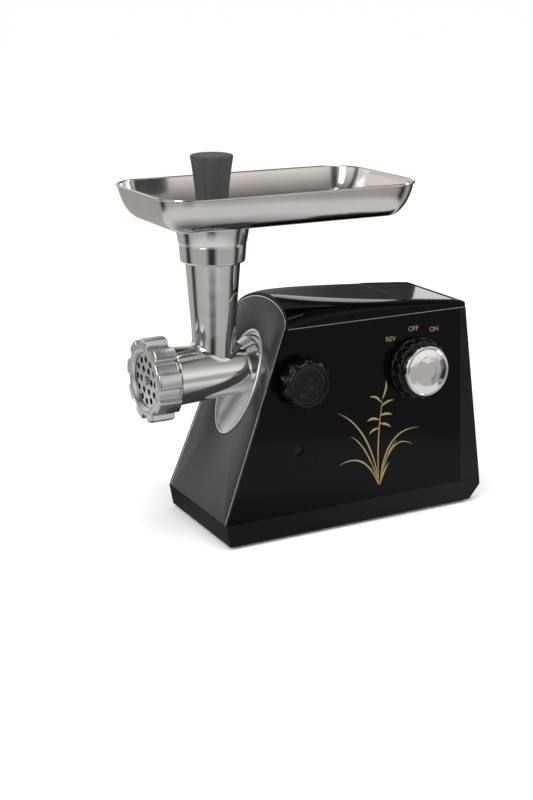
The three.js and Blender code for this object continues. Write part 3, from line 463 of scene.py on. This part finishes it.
def add_piece(name, mesh, material, node, place=None, edge=0, replaces=True):
    """A new piece that takes a CAD node's place, or adds to it when it replaces nothing."""
    mesh.transform(LAYOUT @ place if place else LAYOUT)
    if place and place.determinant() < 0:
        bmesh.ops.reverse_faces(mesh, faces=mesh.faces)
    piece = show(name, mesh, material)
    if edge:
        round_off(piece, edge)
    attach(piece, NODE_BODY[node])
    if replaces:
        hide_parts(node)


def soften_part(node, width, segments=2):
    """The same part with its edges rounded, as a moulding or casting has them."""
    mesh = bmesh.new()
    mesh.from_mesh(frame["nodes"][node].data)
    bmesh.ops.remove_doubles(mesh, verts=mesh.verts, dist=2e-6)
    bmesh.ops.dissolve_limit(
        mesh, angle_limit=0.5 * degrees, verts=mesh.verts, edges=mesh.edges, delimit={"NORMAL"},
    )
    piece = show(node + "_shell", mesh, SLOT_FINISH[NODE_SLOT[node]])
    round_off(piece, width, segments)
    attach(piece, NODE_BODY[node])
    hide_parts(node)


def circle(radius, count, centre=(0, 0), start=0.0):
    return [
        (centre[0] + radius * math.cos(start + 2 * math.pi * i / count),
         centre[1] + radius * math.sin(start + 2 * math.pi * i / count))
        for i in range(count)
    ]


def raised(points, height):
    return [(u, v, height) for u, v in points]


# ---------------------------------------------------------------- the housing's outline, in layout millimetres
HALF_WIDTH = 63.5
FRONT_FOOT = -19.7
BACK_TOP = 243
SKIRT_TOP = 24.0
SEAM = 197.0
CREST_FRONT = 219.0
CREST_REAR = 202.5
SIDE_LEAN = 3.9 * degrees
SLANT = 21.2 * degrees
BACK_LEAN = 5.6 * degrees


def half_width(z):
    return HALF_WIDTH - max(0, z - SKIRT_TOP) * math.tan(SIDE_LEAN)


def fascia_x(z):
    return FRONT_FOOT + (z - SKIRT_TOP) * math.tan(SLANT)


def back_x(z):
    return BACK_TOP + (CREST_REAR - z) * math.tan(BACK_LEAN)


def up_slope(z):
    """How far up the fascia a height is."""
    return (z - SKIRT_TOP) / math.cos(SLANT)


def fold(value, roundness):
    return math.copysign(abs(value) ** (2 / roundness), value)


def roof_arch(share):
    """How square the roof's arch is, and how high it stands over the seam, at a share of its length."""
    return 1.9 + 10 * share, CREST_FRONT + (CREST_REAR - CREST_FRONT) * share - SEAM


def roof_point(angle, share, inset=0.0):
    """A place on the arch, as (y, z), by its angle from the crest."""
    roundness, rise = roof_arch(share)
    rise -= inset
    reach = half_width(SEAM) - inset
    return reach * fold(math.sin(angle), roundness), SEAM + max(0, rise * fold(math.cos(angle), roundness))


ON_FASCIA = Matrix((
    (0, math.sin(SLANT), -math.cos(SLANT), FRONT_FOOT),
    (1, 0, 0, 0),
    (0, math.cos(SLANT), math.sin(SLANT), SKIRT_TOP),
    (0, 0, 0, 1),
))


def on_panel(x, z, tilt):
    """A place on the right-hand panel: u runs back, v runs up and w stands out."""
    return Matrix((
        (1, 0, 0, x),
        (0, math.sin(tilt), -math.cos(tilt), -half_width(z)),
        (0, math.cos(tilt), math.sin(tilt), z),
        (0, 0, 0, 1),
    ))


# ================================================================ housing

def roof_loop(share, inset=0.0, forward=0.0):
    """An arch with a straight foot, across the roof at a share of its length."""
    points = []
    for i in range(57):
        y, z = roof_point((i / 56 - 0.5) * math.pi, share, inset)
        x = fascia_x(z) + (back_x(z) - fascia_x(z)) * share + forward
        points.append((x, y, z))
    return points


roof = lofted(
    [roof_loop(0, 2.8, 7), roof_loop(0, 2.8)] + [roof_loop(i / 28) for i in range(29)]
)
add_piece("top_cover_arch", roof, GLOSS, "top_cover", edge=0.8)


def roof_height(x, y):
    near_crest = 205
    share = (x - fascia_x(near_crest)) / (back_x(near_crest) - fascia_x(near_crest))
    roundness, rise = roof_arch(share)
    return SEAM + rise * max(0, 1 - abs(y / half_width(SEAM)) ** roundness) ** (1 / roundness)


def rim_loop(outward, lift):
    """The raised rim near the back of the roof, drawn outward from its middle line."""
    corners = [(180, -45), (239, -45), (239, 45), (180, 45)]
    path = eased([(x, y, 9) for x, y in corners], steps=8)
    long_path = []
    for i, point in enumerate(path):
        following = path[(i + 1) % len(path)]
        parts = 16 if (following - point).length > 20 else 1
        long_path += [point.lerp(following, step / parts) for step in range(parts)]
    loop = []
    for i, point in enumerate(long_path):
        ahead = (long_path[(i + 1) % len(long_path)] - long_path[i - 1]).normalized()
        x, y = point.x + ahead.y * outward, point.y - ahead.x * outward
        loop.append((x, y, roof_height(x, y) + lift))
    return loop


rim = lofted([rim_loop(outward, lift) for outward, lift in (
    (-1.0, -0.4), (-0.85, 0.3), (-0.5, 0.65), (0, 0.75), (0.5, 0.65), (0.85, 0.3), (1.0, -0.4),
)], closed=True)
add_piece("roof_rim", rim, GLOSS, "top_cover", replaces=False)

for side in ("right", "left"):
    soften_part(side + "_side_panel", 1.0, segments=3)


def seam_highlight_loop(share, side):
    """The pale strip painted along the seam between a side panel and the top cover, a painted highlight
    standing in for the light caught on that edge.
    """
    x = fascia_x(SEAM) + 2 + (back_x(SEAM) - fascia_x(SEAM) - 4) * share
    y = half_width(SEAM)
    return [(x, side * (y + out), SEAM + up) for out, up in (
        (-2, -0.35), (0.05, -0.45), (0.2, -0.2), (0.2, 0.15), (0.05, 0.4), (-2, 0.35),
    )]


# Painted highlight: a pale strip along each seam between side panel and top cover.
for side, name in ((-1, "right"), (1, "left")):
    highlight_strip = lofted([seam_highlight_loop(i / 12, side) for i in range(13)])
    add_piece("seam_line_" + name, highlight_strip, SEAM_HIGHLIGHT_PAINT, name + "_side_panel", replaces=False)
soften_part("base_pan", 1.2, segments=3)
for node, width in (("rear_cover", 0.7), ("screw_plug", 0.5), ("cord_gland", 0.4)):
    soften_part(node, width)
for place in ("front_right", "front_left", "rear_right", "rear_left"):
    soften_part("foot_" + place, 0.7)
    soften_part("base_screw_" + place, 0.25)


def fascia_outline(inset):
    """The fascia's outline as (across, up the slope), inset from the housing's edge."""
    low, high = 24.3, 196.7
    points = []
    for i in range(24):
        z = low + (high - low) * i / 23
        points.append((half_width(z) - inset, up_slope(z)))
    for i in range(1, 48):
        y, z = roof_point((0.5 - i / 48) * math.pi, 0, inset)
        points.append((y, up_slope(z)))
    for i in range(24):
        z = high + (low - high) * i / 23
        points.append((-half_width(z) + inset, up_slope(z)))
    for i in range(1, 20):
        points.append((-(half_width(low) - inset) * (1 - i / 10), up_slope(low)))
    return points


DISH_CENTRE = Vector((0, up_slope(AXIS_Z - 13.4)))
DISH_HALF = (32, 51.5)
DISH_GAP = 0.3


def dish_oval(directions, grown):
    """The dish's oval outline, grown or drawn in all round."""
    half_u, half_v = (half + grown for half in DISH_HALF)
    return [(DISH_CENTRE.x + half_u * u, DISH_CENTRE.y + half_v * v) for u, v in directions]


# The hole in the fascia has one point for each point of the outline, so that the two can be joined.
rim_directions = [
    Vector((
        (u - DISH_CENTRE.x) / (DISH_HALF[0] + DISH_GAP), (v - DISH_CENTRE.y) / (DISH_HALF[1] + DISH_GAP),
    )).normalized()
    for u, v in fascia_outline(3.1)
]
dish_hole = dish_oval(rim_directions, DISH_GAP)
plate = lofted([
    raised(fascia_outline(3.1), -3), raised(fascia_outline(3.1), -0.8),
    raised(fascia_outline(3.3), -0.25), raised(fascia_outline(3.8), 0),
    raised(dish_oval(rim_directions, DISH_GAP + 0.6), 0),
    raised(dish_oval(rim_directions, DISH_GAP + 0.2), -0.2),
    raised(dish_hole, -0.6), raised(dish_hole, -3),
], closed=True)
add_piece("fascia_plate", plate, FASCIA, "fascia", ON_FASCIA)
trim = lofted([
    raised(fascia_outline(2.95), -0.9), raised(fascia_outline(2.95), 0.0),
    raised(fascia_outline(3.15), 0.3), raised(fascia_outline(3.75), 0.3),
    raised(fascia_outline(3.95), 0.1), raised(fascia_outline(3.95), -0.9),
], closed=True)
add_piece("trim_line", trim, CAST, "fascia", ON_FASCIA, replaces=False)

around = circle(1, 144)


def dish_rim(inset, height):
    """A loop of the dish's raised edge."""
    return [ON_FASCIA @ Vector((u, v, height)) for u, v in dish_oval(around, -inset)]


def dish_throat(radius, back):
    """Where the scoop ends: a ring just before the flange, or the fascia where that is further back."""
    ring = []
    for u, v in around:
        z = AXIS_Z + radius * v
        ring.append(Vector((max(back, fascia_x(z) + 2.2), radius * u, z)))
    return ring


rim_rows = [dish_rim(inset, height) for inset, height in (
    (0, -0.4), (0.1, 0.2), (0.5, 0.7), (1.2, 0.9), (1.9, 0.7), (2.4, 0.1), (2.7, -0.7),
)]
throat = dish_throat(28.9, 36.5)
scoop_rows = []
for i in range(1, 13):
    share = i / 12
    sink = math.sin(share * math.pi / 2) * 0.35
    scoop_rows.append([
        a.lerp(b, share) + Vector((2.5 * sink * (1 - share) * 4, 0, 0)) for a, b in zip(rim_rows[-1], throat)
    ])
back_rows = [dish_throat(29.6, 37.2), dish_rim(1.6, -4.4), dish_rim(0, -4.4)]
add_piece("socket_dish_pressing", lofted(rim_rows + scoop_rows + back_rows, closed=True), SCOOP, "socket_dish")


# ================================================================ dial and clamp knob

DIAL_PLACE = on_panel(185.5, 145, SIDE_LEAN)
CLAMP_PLACE = on_panel(60, 148.5, 0)


def flutes(radius, depth, count, sharpness, points):
    """A round outline with shallow grooves round it."""
    outline = []
    for i in range(points):
        angle = 2 * math.pi * i / points
        groove = 0.5 + 0.5 * math.cos(angle * count)
        reach = radius - depth * groove ** sharpness
        outline.append((reach * math.cos(angle), reach * math.sin(angle)))
    return outline


grip_rows = [raised(circle(radius, 280), height) for height, radius in (
    (0.8, 27.4), (0.8, 28.8), (1.2, 29.4), (3.2, 29.5), (3.9, 29.2),
)] + [
    raised(flutes(radius, depth, 14, 2, 280), height) for height, radius, depth in (
        (4.3, 28.8, 0.9), (5.0, 28.8, 1.6), (12.0, 28.3, 1.6), (13.0, 27.9, 1.5), (13.7, 27.0, 1.2),
    )
] + [raised(circle(radius, 280), height) for height, radius in ((14.0, 25.6), (14.1, 24.4), (13.9, 22))]
add_piece("dial_grip_moulding", lofted(grip_rows), KNOB, "dial_grip", DIAL_PLACE)
cap_profile = eased([
    (14.3, 0), (14.3, 23.2), (15.3, 24.0, 0.5), (19.4, 24.0, 0.8), (20.6, 23.4, 0.5), (20.6, 22.4, 0.3),
    (20.2, 21.9, 0.3), (20.9, 20.6, 1.0), (22.2, 14.5, 9), (23.0, 6.5, 9), (23.0, 0),
], closed=False, steps=9)
add_piece(
    "dial_cap_pressing", turned(cap_profile, closed=False, segments=128), CHROME, "dial_cap", DIAL_PLACE,
)

knob_rows = [raised(flutes(radius, depth, 10, 1.25, 240), height) for height, radius, depth in (
    (2.6, 22.4, 1.6), (2.9, 23.4, 2.2), (3.6, 24.0, 2.4), (14.2, 23.8, 2.4), (15.4, 23.2, 2.2),
    (16.2, 22.0, 1.6),
)] + [raised(circle(radius, 240), height) for height, radius in (
    (16.9, 20.9), (17.7, 20.4), (18.0, 19.8), (18.0, 18.9), (17.6, 18.3), (15.7, 18.0), (15.5, 17.6),
    (15.5, 13.6), (15.9, 13.2), (16.1, 12.4), (15.9, 11.6), (15.5, 11.2), (15.5, 6.4), (15.9, 6.0),
    (16.2, 5.0), (16.3, 3.0),
)]
add_piece("clamp_knob_moulding", lofted(knob_rows), KNOB, "clamp_knob", CLAMP_PLACE)


# ================================================================ mincing head

def barrel_radius(x):
    return 27.2 + (23.4 - 27.2) * (x + 43.6) / 71.6


barrel_axis = (0, 0, AXIS_Z)
barrel = turned(eased([
    (-66.2, 0), (-66.2, 30.4, 0.5), (-47.6, 30.4, 0.8), (-43.6, 27.2, 3), (26, 23.5, 7),
    (33.6, 27.2, 0.6), (35.0, 28.0, 0.8), (44.2, 28.0, 0.8), (44.2, 22.0, 0.3), (70, 22.0, 1.0), (70, 0),
], closed=False), "X", barrel_axis, closed=False, segments=128)


# The feed tube starts on the barrel as a saddle with a fillet, and goes on as plain rings.
TUBE_POINTS = 96
FILLET_STEPS = 8
foot_rows = []
for i in range(FILLET_STEPS + 1):
    turn = i / FILLET_STEPS * math.pi / 2
    row = []
    for u, v in circle(1, TUBE_POINTS):
        reach = 20.0 + (1.6 + 3.0 * u * u) * (1 - math.cos(turn))
        x, y = u * reach, v * reach
        saddle = AXIS_Z + math.sqrt(max(0, barrel_radius(x) ** 2 - y * y))
        row.append((x, y, saddle - 0.25 + (3 + 3 * u * u) * (1 - math.sin(turn))))
    foot_rows.append(row)
tube_rows = [
    [(x * share, y * share, AXIS_Z + height) for x, y, z in foot_rows[-1]]
    for share, height in ((0.5, 4), (0.93, 8))
]
tube_rows += list(reversed(foot_rows))
tube_rows += [raised(circle(radius, TUBE_POINTS), z) for z, radius in eased([
    (192, 20.2), (255, 25.0, 0.8), (256, 29.0, 0.4), (257.0, 29.4, 0.6), (271.6, 30.5, 0.8), (272.4, 29.9, 0.3),
    (273.2, 31.0, 0.5), (289.6, 33.8, 1.0), (291, 33.2, 0.4),
], closed=False)]
head = carved(barrel, lofted(tube_rows), "UNION")
bore = turned(eased([
    (AXIS_Z, 0), (AXIS_Z, 18), (172, 18), (258, 21, 0.4), (258.4, 22.5, 0.3), (272, 22.5, 3),
    (289.4, 31.2, 2), (292, 32.2), (292, 0),
], closed=False), "Z", closed=False)
head = carved(head, bore, "DIFFERENCE")
inside = turned(eased([
    (-68, 0), (-68, 27.2), (-55.8, 27.2), (-55.8, 20.6), (32, 20.6), (32, 7.0), (72, 7.0), (72, 0),
], closed=False), "X", barrel_axis, closed=False)
head = carved(head, inside, "DIFFERENCE")
add_piece("mincing_head_casting", head, POLISHED, "mincing_head")


# ---------------------------------------------------------------- ring nut, plate and knife
LUGS = 9
LUG_PITCH = 2 * math.pi / LUGS


def lug_outline(cut):
    """The ring nut's square lugs, drawn in by a cut all round."""
    corners = []
    for i in range(LUGS):
        middle = math.pi - 11 * degrees + i * LUG_PITCH
        for share, radius, ease in (
            (-0.31, 33.6, 0.8), (-0.25, 38.6, 1.5), (0, 38.75, 0), (0.25, 38.6, 1.5), (0.31, 33.6, 0.8),
            (0.405, 33.6, 0), (0.5, 33.6, 0), (0.595, 33.6, 0),
        ):
            angle = middle + share * LUG_PITCH
            corners.append(((radius - cut) * math.cos(angle), (radius - cut) * math.sin(angle), ease))
    return eased(corners, steps=4)


lug_directions = [point.normalized() for point in lug_outline(0)]


def nut_row(x, points):
    return [(x, y, AXIS_Z + z) for y, z in points]


def nut_circle(x, radius):
    return nut_row(x, [direction * radius for direction in lug_directions])


nut_rows = [nut_row(x, lug_outline(cut)) for x, cut in (
    (-71.0, 2.4), (-70.8, 1.6), (-70.2, 0.7), (-69.4, 0.2), (-68.4, 0.0), (-50.0, 0.0), (-49.2, 0.25),
    (-48.7, 0.8), (-48.6, 1.4),
)] + [nut_circle(x, radius) for x, radius in (
    (-48.6, 31.2), (-48.9, 30.8), (-68.0, 30.7), (-68.0, 25.0), (-68.4, 24.75), (-70.4, 27.0), (-70.8, 27.6),
    (-71.0, 28.4),
)]
add_piece("ring_nut_casting", lofted(nut_rows, closed=True), CAST, "ring_nut")
for node, width in (
    ("cutting_plate", 0.2), ("cutting_knife", 0.3), ("auger", 0.4), ("auger_washer", 0.2),
    ("drive_socket", 0.3), ("clamp_pad", 0.2), ("clamp_screw", 0.3),
):
    soften_part(node, width)


# ================================================================ tray and pusher
TRAY_HALF_LENGTH = 128
TRAY_HALF_WIDTH = 72.2
TRAY_CORNER = 33
TRAY_CENTRE = TRAY_HALF_LENGTH - 73.2
TRAY_SHEET = 1.2
WALL_TOP = 320.6
FLOOR_UNDER = 291.3


def pan_loop(inset, z):
    """A rounded rectangle drawn in from the tray's rim."""
    half_u, half_v, corner = (size - inset for size in (TRAY_HALF_LENGTH, TRAY_HALF_WIDTH, TRAY_CORNER))
    points = []
    for quarter, (side_u, side_v) in enumerate(((1, 1), (-1, 1), (-1, -1), (1, -1))):
        centre = (side_u * (half_u - corner), side_v * (half_v - corner))
        for i in range(13):
            angle = (quarter + i / 12) * math.pi / 2
            points.append(Vector((centre[0] + corner * math.cos(angle), centre[1] + corner * math.sin(angle))))
        following = ((-1, 1), (-1, -1), (1, -1), (1, 1))[quarter]
        target = Vector((following[0] * (half_u - corner), following[1] * (half_v - corner)))
        target += Vector(((0, corner), (-corner, 0), (0, -corner), (corner, 0))[quarter])
        parts = 30 if quarter % 2 == 0 else 10
        points += [points[-1].lerp(target, i / parts) for i in range(1, parts)]
    return [(TRAY_CENTRE + u, v, z) for u, v in points]


def wall_rows(thickness):
    """Loops down the tray's wall, which stands steep at the rim and rolls into the floor."""
    rows = []
    floor = FLOOR_UNDER + thickness
    for i in range(19):
        turn = i / 18 * math.pi / 2
        sunk = math.sin(turn)
        belly = 1 - max(0.0, 1 - sunk ** 2.4) ** 0.5
        z = WALL_TOP - (WALL_TOP - floor) * sunk
        rows.append(pan_loop(1.5 + thickness + 6.5 * sunk + 15.5 * belly, z))
    return rows


def neck_loop(radius, z):
    return [tuple(Vector((x, y, 0)).normalized() * radius + Vector((0, 0, z))) for x, y, _ in pan_loop(24, 0)]


tray_rows = [pan_loop(inset, z) for inset, z in (
    (0.25, 321.2), (0.0, 321.8), (0.0, 322.3), (0.3, 322.8), (0.9, 323.0), (1.7, 323.0), (2.3, 322.6),
    (2.6, 321.9),
)]
tray_rows += wall_rows(TRAY_SHEET)
tray_rows += [neck_loop(radius, z) for radius, z in (
    (25.0, 292.5), (22.6, 292.2), (21.3, FLOOR_UNDER), (21.0, 290), (21.0, 261.0), (22.2, 261.0), (22.2, 289.4),
    (22.6, 290.6), (23.8, FLOOR_UNDER),
)]
tray_rows += list(reversed(wall_rows(0)))
tray_rows.append(pan_loop(0.9, 320.8))
add_piece("tray_pressing", lofted(tray_rows, closed=True), STEEL, "tray")


def fluted_row(radius, z, depth):
    points = []
    for i in range(128):
        angle = 2 * math.pi * i / 128
        groove = max(0, math.cos(8 * angle)) ** 3
        reach = radius * (1 - depth * groove)
        points.append((reach * math.cos(angle), reach * math.sin(angle), z))
    return points


pusher_rows = []
for i in range(22):
    height = 99.6 * (i / 21) ** 1.6
    nose = min(1, 0.35 + 0.65 * math.sqrt(min(1, height / 12)))
    pusher_rows.append(fluted_row(16.8 * nose, 192.8 + height, 0.11))
pusher_rows += [fluted_row(radius, z, 0) for z, radius in (
    (292.8, 20), (292.8, 24.2), (293.1, 24.8), (293.8, 25.0), (297.0, 25.0), (298.1, 24.6), (298.9, 23.6),
    (299.3, 22.0), (299.4, 18.6),
)]
for i in range(18):
    share = 0.02 + 0.94 * i / 17
    flare = 14 + 5.5 * share ** 1.6 + 3.5 * max(0, 1 - share * 5) ** 2
    pusher_rows.append(fluted_row(flare, 298.8 + 52 * share, 0.07 * min(1, share * 8)))
pusher_rows += [fluted_row(radius, z, depth) for z, radius, depth in (
    (349.8, 18.9, 0.05), (350.4, 17.8, 0.02), (350.7, 16.4, 0), (350.8, 14.5, 0), (350.8, 9, 0),
)]
add_piece("pusher_moulding", lofted(pusher_rows), CHARCOAL, "pusher")


# ================================================================ gold print on the right-hand panel

WORD_HEIGHT = 4.6
CAPITAL_SHARE = 0.7


def print_gold(name, mesh, x, z, lift):
    """Lays a thin print on the right-hand panel, centred on a place."""
    mesh.transform(LAYOUT @ on_panel(x, z, SIDE_LEAN) @ Matrix.Translation((0, 0, lift)))
    piece = show(name, mesh, GOLD)
    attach(piece, "housing")


def print_words(name, words, x, z):
    """A word in capitals, centred on a place."""
    curve = bpy.data.curves.new(name, "FONT")
    curve.body = words
    curve.size = WORD_HEIGHT / CAPITAL_SHARE
    curve.align_x = "CENTER"
    curve.align_y = "CENTER"
    curve.extrude = 0.04
    writing = bpy.data.objects.new(name + "_curve", curve)
    scene.collection.objects.link(writing)
    flat = bpy.data.meshes.new_from_object(writing.evaluated_get(bpy.context.evaluated_depsgraph_get()))
    mesh = bmesh.new()
    mesh.from_mesh(flat)
    bpy.data.objects.remove(writing)
    bpy.data.meshes.remove(flat)
    print_gold(name, mesh, x, z, 0.05)


for words, x, z in (("REV", 158, 175.5), ("OFF", 183.5, 182.5), ("ON", 207, 179.5)):
    print_words("label_" + words.lower(), words, x, z)


def add_blade(mesh, start, bend, tip, width):
    """One leaf of the sprig: a thin strip that swells and comes to a point."""
    before = set(mesh.verts)
    steps = 24
    bmesh.ops.create_grid(mesh, x_segments=steps, y_segments=1, size=0.5)
    for vert in (vert for vert in mesh.verts if vert not in before):
        share = min(1, max(0, vert.co.x + 0.5))
        side = 1 if vert.co.y > 0 else -1
        middle = start.lerp(bend, share).lerp(bend.lerp(tip, share), share)
        ahead = (bend - start).lerp(tip - bend, share).normalized()
        swell = width * math.sin(math.pi * (0.06 + 0.94 * share)) ** 0.8 / 2
        across = Vector((-ahead.y, ahead.x)) * swell * side
        vert.co = (middle.x + across.x, middle.y + across.y, 0)


# Leaves and buds of the sprig as start, bend and tip, in (x, z) on the panel, and their width.
SPRIG_MIDDLE = Vector((143, 80))
sprig = bmesh.new()
for start, bend, tip, width in (
    ((143, 36), (140, 82), (149, 122), 1.5),
    ((143, 40), (132, 98), (98, 113), 1.9), ((143, 38), (128, 82), (112, 88), 1.6),
    ((142, 37), (128, 74), (99, 62), 1.9), ((144, 37), (150, 92), (190, 86), 1.9),
    ((144, 38), (156, 88), (182, 70), 1.7), ((144, 38), (150, 66), (164, 78), 1.5),
    ((143, 36), (139, 52), (134, 60), 2.2), ((144, 36), (148, 50), (155, 57), 2.2),
    ((146, 112), (153, 118), (161, 117), 2.6), ((147, 116), (141, 125), (134, 123), 2.6),
    ((148, 120), (154, 130), (152, 137), 2.8), ((145, 104), (152, 106), (159, 103), 3.0),
    ((144, 100), (136, 104), (131, 100), 3.0), ((145, 96), (152, 96), (157, 91), 2.8),
    ((144, 92), (136, 92), (133, 87), 2.6),
):
    add_blade(sprig, *(Vector(point) - SPRIG_MIDDLE for point in (start, bend, tip)), width * 0.8)
sheet = bmesh.ops.extrude_face_region(sprig, geom=sprig.faces[:])["geom"]
for vert in (item for item in sheet if isinstance(item, bmesh.types.BMVert)):
    vert.co.z += 0.08
bmesh.ops.recalc_face_normals(sprig, faces=sprig.faces)
print_gold("sprig_print", sprig, *SPRIG_MIDDLE, 0.02)


# ================================================================ studio

def add_light(name, place, aim, size, power):
    light = bpy.data.lights.new(name, "AREA")
    light.shape = "RECTANGLE"
    light.size, light.size_y = size
    light.energy = power
    lamp = bpy.data.objects.new(name, light)
    lamp.location = place
    lamp.rotation_euler = (Vector(aim) - Vector(place)).to_track_quat("-Z", "Y").to_euler()
    scene.collection.objects.link(lamp)


def add_card(name, place, aim, size, shade):
    """A card that only shows in reflections."""
    mesh = bmesh.new()
    bmesh.ops.create_grid(mesh, x_segments=1, y_segments=1, size=0.5)
    mesh.transform(Matrix.Diagonal((size[0], size[1], 1, 1)))
    facing = (Vector(aim) - Vector(place)).to_track_quat("Z", "Y").to_matrix().to_4x4()
    mesh.transform(Matrix.Translation(place) @ facing)
    material, nodes = finish(name)
    glow = nodes.node("ShaderNodeEmission", {}, {"Color": shade, "Strength": 1.0})
    nodes.feed(nodes.end.inputs["Surface"], glow)
    card = show(name, mesh, material)
    for ray in ("camera", "diffuse", "shadow", "transmission"):
        setattr(card, "visible_" + ray, False)


def grey(level):
    """A slightly warm grey, as undyed cloth has."""
    return rgb(level, level * 0.965, level * 0.925)


def cloths_round(pale, dark):
    """Ramp stops for a pale room with dark cloths hung round it, by bearing."""
    stops = []
    for middle, half_width in DARK_CLOTHS:
        stops += [
            (middle - half_width - CLOTH_FADE, grey(pale)), (middle - half_width, grey(dark)),
            (middle + half_width, grey(dark)), (middle + half_width + CLOTH_FADE, grey(pale)),
        ]
    return stops


def bearing_of(along, across):
    """The bearing of a direction: 0 and 1 point to -X, a quarter to -Y, a half to +X."""
    return along.math("ARCTAN2", along, across) * (0.5 / math.pi) + 0.5


# Bearing of each cloth's middle and half its width: behind the camera, on the right, behind, on the left.
DARK_CLOTHS = ((0.17, 0.02), (0.43, 0.01), (0.6, 0.06), (0.92, 0.01))
CLOTH_FADE = 0.04

floor_mesh = bmesh.new()
bmesh.ops.create_grid(floor_mesh, x_segments=1, y_segments=1, size=60)
floor_finish, floor_nodes = finish("pale_floor")
matt = floor_nodes.node("ShaderNodeBsdfDiffuse", {}, {
    "Color": floor_nodes.shade(floor_nodes.noise(3, 2), rgb(0.93), rgb(0.95)), "Roughness": 0.5,
})
# What polished surfaces see below them: a dark patch of painted shadow under the barrel, then cloths round the
# feed tube.
place = floor_nodes.node("ShaderNodeMapping", {}, {
    "Vector": floor_nodes.node("ShaderNodeTexCoord", output="Object"), "Location": (-TUBE_X, -MIDDLE_Y, 0),
})
across, along = (floor_nodes.node("ShaderNodeSeparateXYZ", {}, {"Vector": place}, i) for i in (0, 1))
distance = (across * across + along * along) ** 0.5
far = floor_nodes.node("ShaderNodeValToRGB", {"stops": cloths_round(0.42, 0.03)}, {
    "Fac": bearing_of(along, across),
})
# Painted shadow: the floor near the machine is darker in reflections, as if it lay in the machine's shade.
near = floor_nodes.node("ShaderNodeValToRGB", {"stops": [
    (0.0, rgb(0.3)), (0.1, rgb(0.1)), (0.3, rgb(0.7)),
]}, {"Fac": distance})
reach = floor_nodes.node("ShaderNodeMapRange", {"interpolation_type": "SMOOTHSTEP"}, {
    "Value": distance, "From Min": 0.46, "From Max": 0.6,
})
cloths = floor_nodes.node("ShaderNodeEmission", {}, {"Color": floor_nodes.shade(reach, near, far)})
floor_nodes.feed(floor_nodes.end.inputs["Surface"], floor_nodes.node("ShaderNodeMixShader", {}, {
    0: floor_nodes.node("ShaderNodeLightPath", output="Is Glossy Ray"), 1: matt, 2: cloths,
}))
floor = show("floor", floor_mesh, floor_finish)

world = bpy.data.worlds.new("studio")
scene.world = world
sky = Nodes(world, "ShaderNodeOutputWorld")
direction = sky.node("ShaderNodeTexCoord", output="Generated")
split = {axis: sky.node("ShaderNodeSeparateXYZ", {}, {"Vector": direction}, i) for i, axis in enumerate("xyz")}
round_about = sky.node("ShaderNodeValToRGB", {"stops": cloths_round(0.9, 0.1)}, {
    "Fac": bearing_of(split["y"], split["x"]),
})
up_and_down = sky.node("ShaderNodeValToRGB", {"stops": [
    (0.0, rgb(0.3)), (0.5, rgb(0.8)), (0.6, rgb(1.0)), (0.8, rgb(0.4)), (1.0, rgb(0.05)),
]}, {"Fac": split["z"] * 0.5 + 0.5})
glow = sky.node("ShaderNodeMix", {"data_type": "RGBA", "blend_type": "MULTIPLY"}, {
    0: 1.0, 6: round_about, 7: up_and_down,
}, 2)
is_camera = sky.node("ShaderNodeLightPath", output="Is Camera Ray")
is_glossy = sky.node("ShaderNodeLightPath", output="Is Glossy Ray")
shown = sky.shade(is_glossy, rgb(1.06), glow)
shown = sky.shade(is_camera, shown, rgb(1.0))
background = sky.node("ShaderNodeBackground", {}, {"Color": shown, "Strength": 1.0})
sky.feed(sky.end.inputs["Surface"], background)

MIDDLE = (0, 0, 0.16)
add_light("softbox_left", (-1.3, -0.7, 1.0), MIDDLE, (0.5, 1.2), 7)
add_light("softbox_top", (0.0, -0.2, 1.7), MIDDLE, (0.9, 0.5), 8)
add_light("softbox_right", (1.5, -0.5, 0.9), MIDDLE, (0.3, 1.2), 4)
add_card("grey_card_back", (0.81, 1.22, 0.6), (0.1, 0, 0.2), (0.27, 0.3), rgb(1.3))
add_card("white_card_back", (0.97, 1.1, 0.375), (0.14, 0, 0.2), (0.1, 0.06), rgb(1.9))
scene.view_settings.view_transform = "Standard"

# ================================================================ camera
lens = bpy.data.cameras.new("camera")
lens.lens = 62.4
lens.sensor_width = 36
camera = bpy.data.objects.new("camera", lens)
camera.location = (-0.627674, -1.10562, 0.501)
camera.rotation_euler = (72.97 * degrees, 0, -27.95 * degrees)
scene.collection.objects.link(camera)
scene.camera = camera
